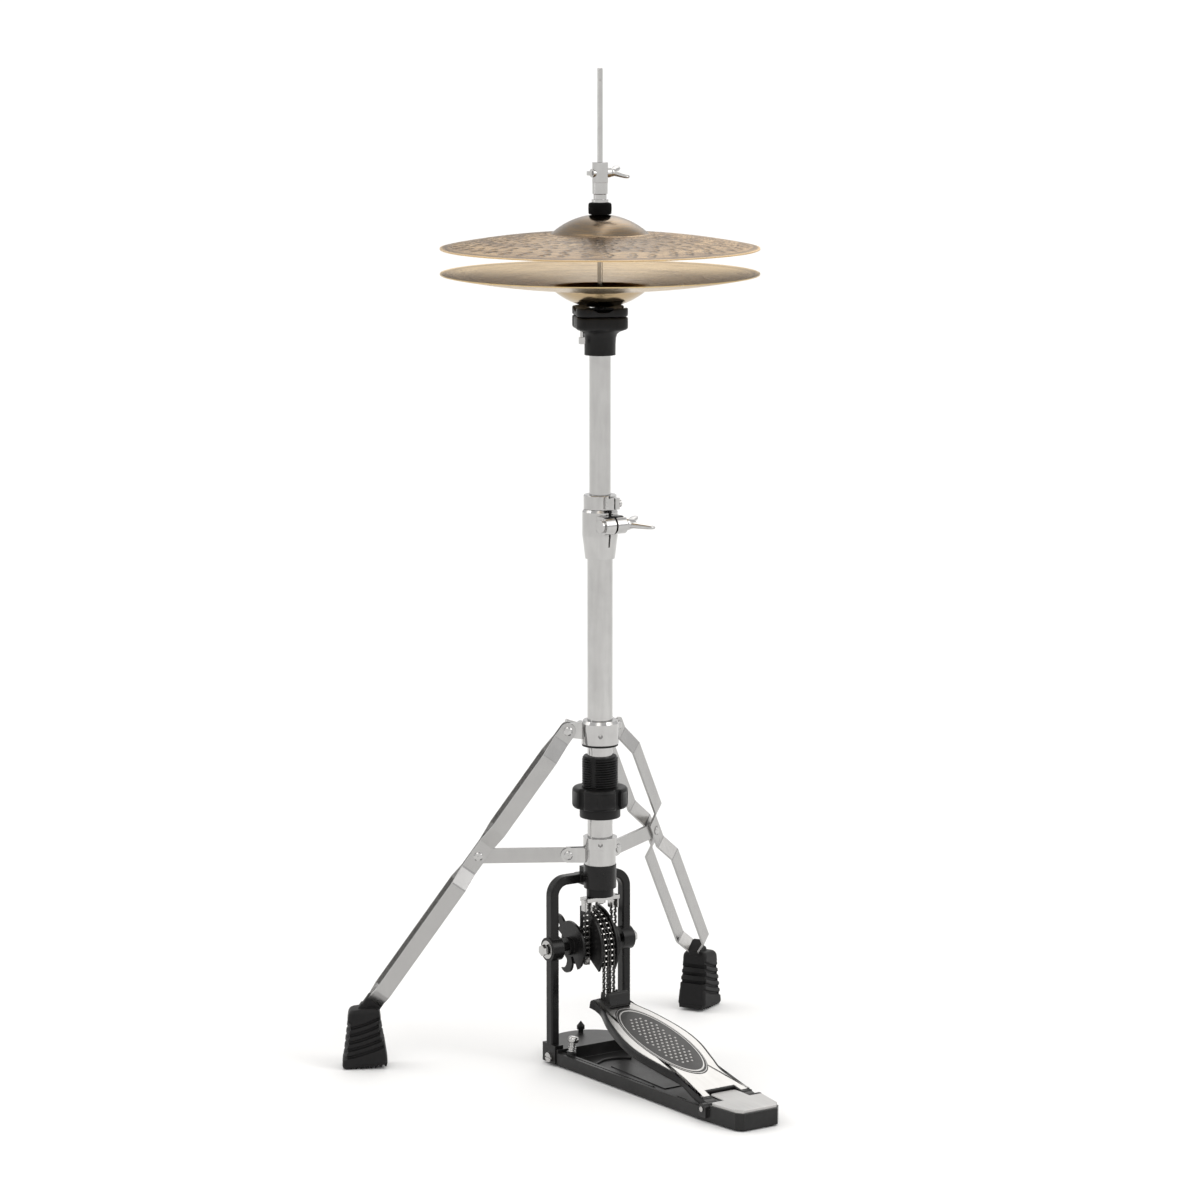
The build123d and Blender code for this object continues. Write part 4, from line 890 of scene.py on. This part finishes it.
seat_levels = [(814.2, 0.0, 0.0), (826.0, 0.0, 0.0), (833.0, 0.04, 0.0), (837.5, 0.16, 0.0),
               (840.6, 0.40, -0.6),
               (842.4, 0.72, -0.8), (843.6, 0.93, -0.8), (845.2, 1.0, -0.2), (847.0, 1.0, 0.0),
               (855.4, 1.0, 0.0),
               (856.9, 1.0, -0.5), (857.5, 1.0, -1.6)]
polar(flare, seat_levels, bore=12.05).piece("seat_base_body", PLASTIC, "upper_tube", ("seat_base",),
                                            "black_plastic", 45)


def horn(angle):
    """1 on the seat's lobes, falling to 0 between them."""
    return min(1.0, max(0.0, (lobed(angle, 0.0) - 28.6) / 5.0)) ** 0.6


def cup_point(angle, z, grow, bowl):
    """Point of the cup: outer wall, or the bowl that rises into the four horns."""
    top = 863.4 + 4.6 * horn(angle)
    r = lobed(angle, grow) if bowl is None else min(bowl, lobed(angle, -2.6))
    return (r * math.cos(angle), r * math.sin(angle), min(z, top - (0.3 if bowl is None else 0.0)))


cup_levels = [(858.5, -1.2, None), (859.3, -0.3, None), (861.0, 0.0, None), (866.2, 0.0, None),
              (867.4, -0.5, None),
              (868.0, -1.6, None), (868.0, 0, 32.7), (866.0, 0, 29.0), (863.6, 0, 22.0), (862.3, 0, 16.6),
              (862.2, 0, 7.0), (858.5, 0, 7.0)]
rings = [[cup_point(TAU * i / 144, z, g, f) for i in range(144)] for z, g, f in cup_levels]
Shape().loft(rings, closed=True).piece("seat_cup_body", PLASTIC, "seat", ("seat_cup",), "black_plastic",
                                       40)

# ================================================================ clutch
KNURLS = 44


def knurl(angle, r, deep):
    return r - deep * abs(math.sin(angle * KNURLS / 2)) ** 1.5


nut_levels = [(944.5, 9.4, 0.0), (945.2, 10.4, 0.1), (946.9, 12.2, 0.45), (947.4, 12.5, 0.6),
              (953.2, 12.5, 0.6),
              (953.9, 12.1, 0.4), (955.1, 11.2, 0.1), (955.5, 10.4, 0.0)]
polar(knurl, nut_levels, seg=352, bore=5.55).piece("knurled_nut", PAINT, "clutch",
                                                   ("clutch_bottom_nut",), "black_casting", 50)


def felt_block(z0, z1, cone):
    """Felt washer with soft, slightly swollen edges."""
    r, hole = 12.9, 6.25
    bulge = 0.12
    top = [(r - 1.0, z1 - 0.15), (r - 2.0, z1)] if not cone else [(r - 0.8, z1 - 1.35),
                                                                  (r - 3.0, z1 - 0.6), (8.0, z1)]
    profile = [(hole, z0), (r - 1.6, z0), (r - 0.5, z0 + 0.45), (r - 0.05, z0 + 1.5),
               (r + bulge, (z0 + z1) / 2), (r, z1 - 1.7)]
    return profile + top + [(hole, z1)]


felts = Shape().turned(felt_block(956.2, 968.2, True), 72, closed=True)
felts.turned(felt_block(970.3, 983.0, False), 72, closed=True)
felts.piece("clutch_felt_blocks", FELT, "clutch_felts", ("clutch_felts",), "black_felt", 60)

threaded(983.7, 1006.0, 6.6, 5.9, 1.4, 5.52, seg=48, step=0.2).piece("clutch_thread", CHROME, "clutch",
                                                                     (), "bright_chrome", 60)

# ================================================================ footboard
HINGE_Y, HINGE_Z, BOARD_SLOPE = -260.0, 15.0, 13.3
HEEL_CLEAR = 13.0                         # the top plate stays in front of the heel plate
BOARD = at(0, HINGE_Y, HINGE_Z) @ turn(BOARD_SLOPE, "X")
BADGE_U, BADGE_A, BADGE_B = 141.0, 83.5, 31.0
BOARD_SIDE = [(33.0, 8.0), (31.5, 30.0), (28.5, 58.0), (35.0, 88.0), (42.5, 125.0), (42.0, 160.0),
              (33.5, 200.0),
              (23.5, 228.0), (22.0, 243.0), (24.0, 252.0)]


def board_outline():
    """Footboard plan, anticlockwise from the heel, with the notch for the heel plate's tongue."""
    right = curve_through(BOARD_SIDE, 7)
    angles = [math.pi * k / 10 for k in range(1, 10)]
    toe = [(24.0 * math.cos(a), 252.0 + 3.0 * math.sin(a)) for a in angles]
    left = [(-x, y) for x, y in reversed(right)]
    return right + toe + left + [(-18.6, 8.0), (-18.6, 22.5), (18.6, 22.5), (18.6, 8.0)]


levels = [(4.0, 2.5), (4.0, -2.9), (0.6, -2.9), (0.0, -2.3), (0.0, 4.9), (0.7, 6.3), (1.6, 6.85),
          (2.4, 6.7), (2.6, 6.2)]
rings = [[(x, y, n) for x, y in inset(board_outline(), by)] for by, n in levels]
casting = Shape().loft(rings, BOARD)
for side in (-1, 1):
    knuckle = BOARD @ at(19.1 if side > 0 else -33.1, 0, 0) @ ALONG_X
    casting.turned([(2.6, 0), (5.4, 0), (5.9, 0.5), (5.9, 13.5), (5.4, 14.0), (2.6, 14.0)], 40, knuckle,
                   closed=True)
    web = [(19.4, 2.0), (32.8, 2.0), (32.8, 12.0), (19.4, 12.0)]
    web = web if side > 0 else [(-x, y) for x, y in reversed(web)]
    casting.prism(web, -2.8, 5.9, 0.6, BOARD)
casting.piece("footboard_casting", PAINT, "footboard", ("footboard",), "black_casting", 40)
top_plan = [(x, max(y, HEEL_CLEAR)) for x, y in inset(board_outline(), 3.0)]
Shape().prism(top_plan, 6.0, 6.98, 0.35, BOARD).piece("footboard_top", SATIN, "footboard", (),
                                                      "satin_metal", 40)

oval = BOARD @ at(0, BADGE_U, 0) @ Matrix.Diagonal((BADGE_B, BADGE_A, 1, 1))
Shape().turned([(0, 6.3), (0.985, 6.3), (0.995, 6.7), (0.985, 7.25), (0.975, 7.3), (0, 7.3)], 128,
               oval).piece(
    "footboard_inlay", INLAY, "footboard", ("footboard_badge",), "badge", 40)
outlines = Shape()
for r, w in ((0.962, 0.010), (0.895, 0.020)):
    outlines.turned([(r - w, 7.2), (r + w, 7.2), (r + w * 0.6, 7.5), (r - w * 0.6, 7.5)], 128, oval,
                    closed=True)
outlines.piece("inlay_outlines", SATIN, "footboard", (), "satin_metal", 30)
studs = Shape()
for row in range(-9, 10):
    for col in range(-4, 5):
        x, y = (col + 0.5 * (row % 2)) * 6.2, row * 6.6
        if (x / 19.0) ** 2 + (y / 60.0) ** 2 < 1:
            studs.turned([(0, 7.1), (1.5, 7.1), (1.4, 7.5), (0.9, 7.85), (0, 7.95)], 14,
                         BOARD @ at(x, BADGE_U + y, 0))
studs.piece("inlay_studs", SATIN, "footboard", (), "satin_metal", 40)

# ================================================================ floor, light and camera
VIEW_AZIMUTH = -33.5                      # degrees; places the camera and the two lamps
PALE = (0.84, 0.84, 0.84)
FLOOR_R = 600


def stage_floor():
    """Plain pale floor, the same all over."""
    mesh = bpy.data.meshes.new("studio_floor")
    mesh.from_pydata(ring_of(FLOOR_R, -0.0002, 64), [], [tuple(range(64))])
    floor = add_object("studio_floor", mesh)
    g = Graph("studio_floor")
    grain = g.range(g.noise(g.object_space(), 2.2, 2.0, 0.4), 0.3, 0.7, 0.9, 0.94)
    g.put(color=PALE, rough=grain, spec=0.1)
    mesh.materials.append(g.material)


stage_floor()


def aimed(place, target):
    """Placement that looks along -Z from a place to a target."""
    aim = Vector(target) - Vector(place)
    return Matrix.Translation(place) @ aim.to_track_quat("-Z", "Y").to_matrix().to_4x4()


def soft_box(name, place, target, size, power):
    """Rectangular lamp aimed at a point."""
    lamp = bpy.data.lights.new(name, "AREA")
    lamp.shape = "RECTANGLE"
    lamp.size, lamp.size_y = size
    lamp.energy = power
    add_object(name, lamp).matrix_world = aimed(place, target)


view_angle = math.radians(VIEW_AZIMUTH)
to_camera = Vector((math.sin(view_angle), -math.cos(view_angle), 0))
to_right = Vector((math.cos(view_angle), math.sin(view_angle), 0))
MIDDLE = Vector((0, 0, 0.55))


def from_view(right, near, up):
    return tuple(MIDDLE + to_right * right + to_camera * near + Vector((0, 0, up)))


soft_box("key", from_view(2.3, 1.2, 1.7), MIDDLE, (0.9, 2.2), 16)
soft_box("fill", from_view(-2.4, 0.2, 1.2), MIDDLE, (0.25, 2.2), 4)


def studio_world():
    """Bright overhead light above plain pale studio walls, the same from every side."""
    world = bpy.data.worlds.new("studio")
    world.use_nodes = True
    world.node_tree.nodes.clear()
    g = Graph.__new__(Graph)
    g.tree = world.node_tree
    parts = g.node("ShaderNodeSeparateXYZ")
    g.join(g.node("ShaderNodeTexCoord").outputs["Generated"], parts.inputs[0])
    compass = g.math("MULTIPLY", g.math("ARCTAN2", parts.outputs[1], parts.outputs[0]), 4.0)
    panel = g.math("POWER", g.range(g.math("COSINE", compass), 1.0, -1.0, 0.0, 1.0), 3.0)
    sky = g.ramp(panel, (0.0, (0.30, 0.30, 0.30)), (1.0, (1.0, 0.985, 0.96)))
    tone = g.mix(g.range(parts.outputs[2], 0.12, 0.55, 0.0, 1.0), PALE, sky)
    back = g.node("ShaderNodeBackground")
    g.join(tone, back.inputs["Color"])
    g.join(g.range(parts.outputs[2], 0.2, 0.6, 1.0, 2.6), back.inputs["Strength"])
    g.join(back.outputs[0], g.node("ShaderNodeOutputWorld").inputs[0])
    bpy.context.scene.world = world


studio_world()

DISTANCE, CAMERA_Z, AIM_Z = 4.5, 1.29, 0.537
FRAME_M = 1.332                           # metres across the frame at the object
camera_data = bpy.data.cameras.new("camera")
camera = add_object("camera", camera_data)
camera.matrix_world = aimed(to_camera * DISTANCE + Vector((0, 0, CAMERA_Z)), (0, 0, AIM_Z))
camera_data.sensor_width = 36.0
camera_data.lens = 36.0 * DISTANCE / FRAME_M
camera_data.clip_end = 2000.0
bpy.context.scene.camera = camera
bpy.context.scene.view_settings.view_transform = "Standard"
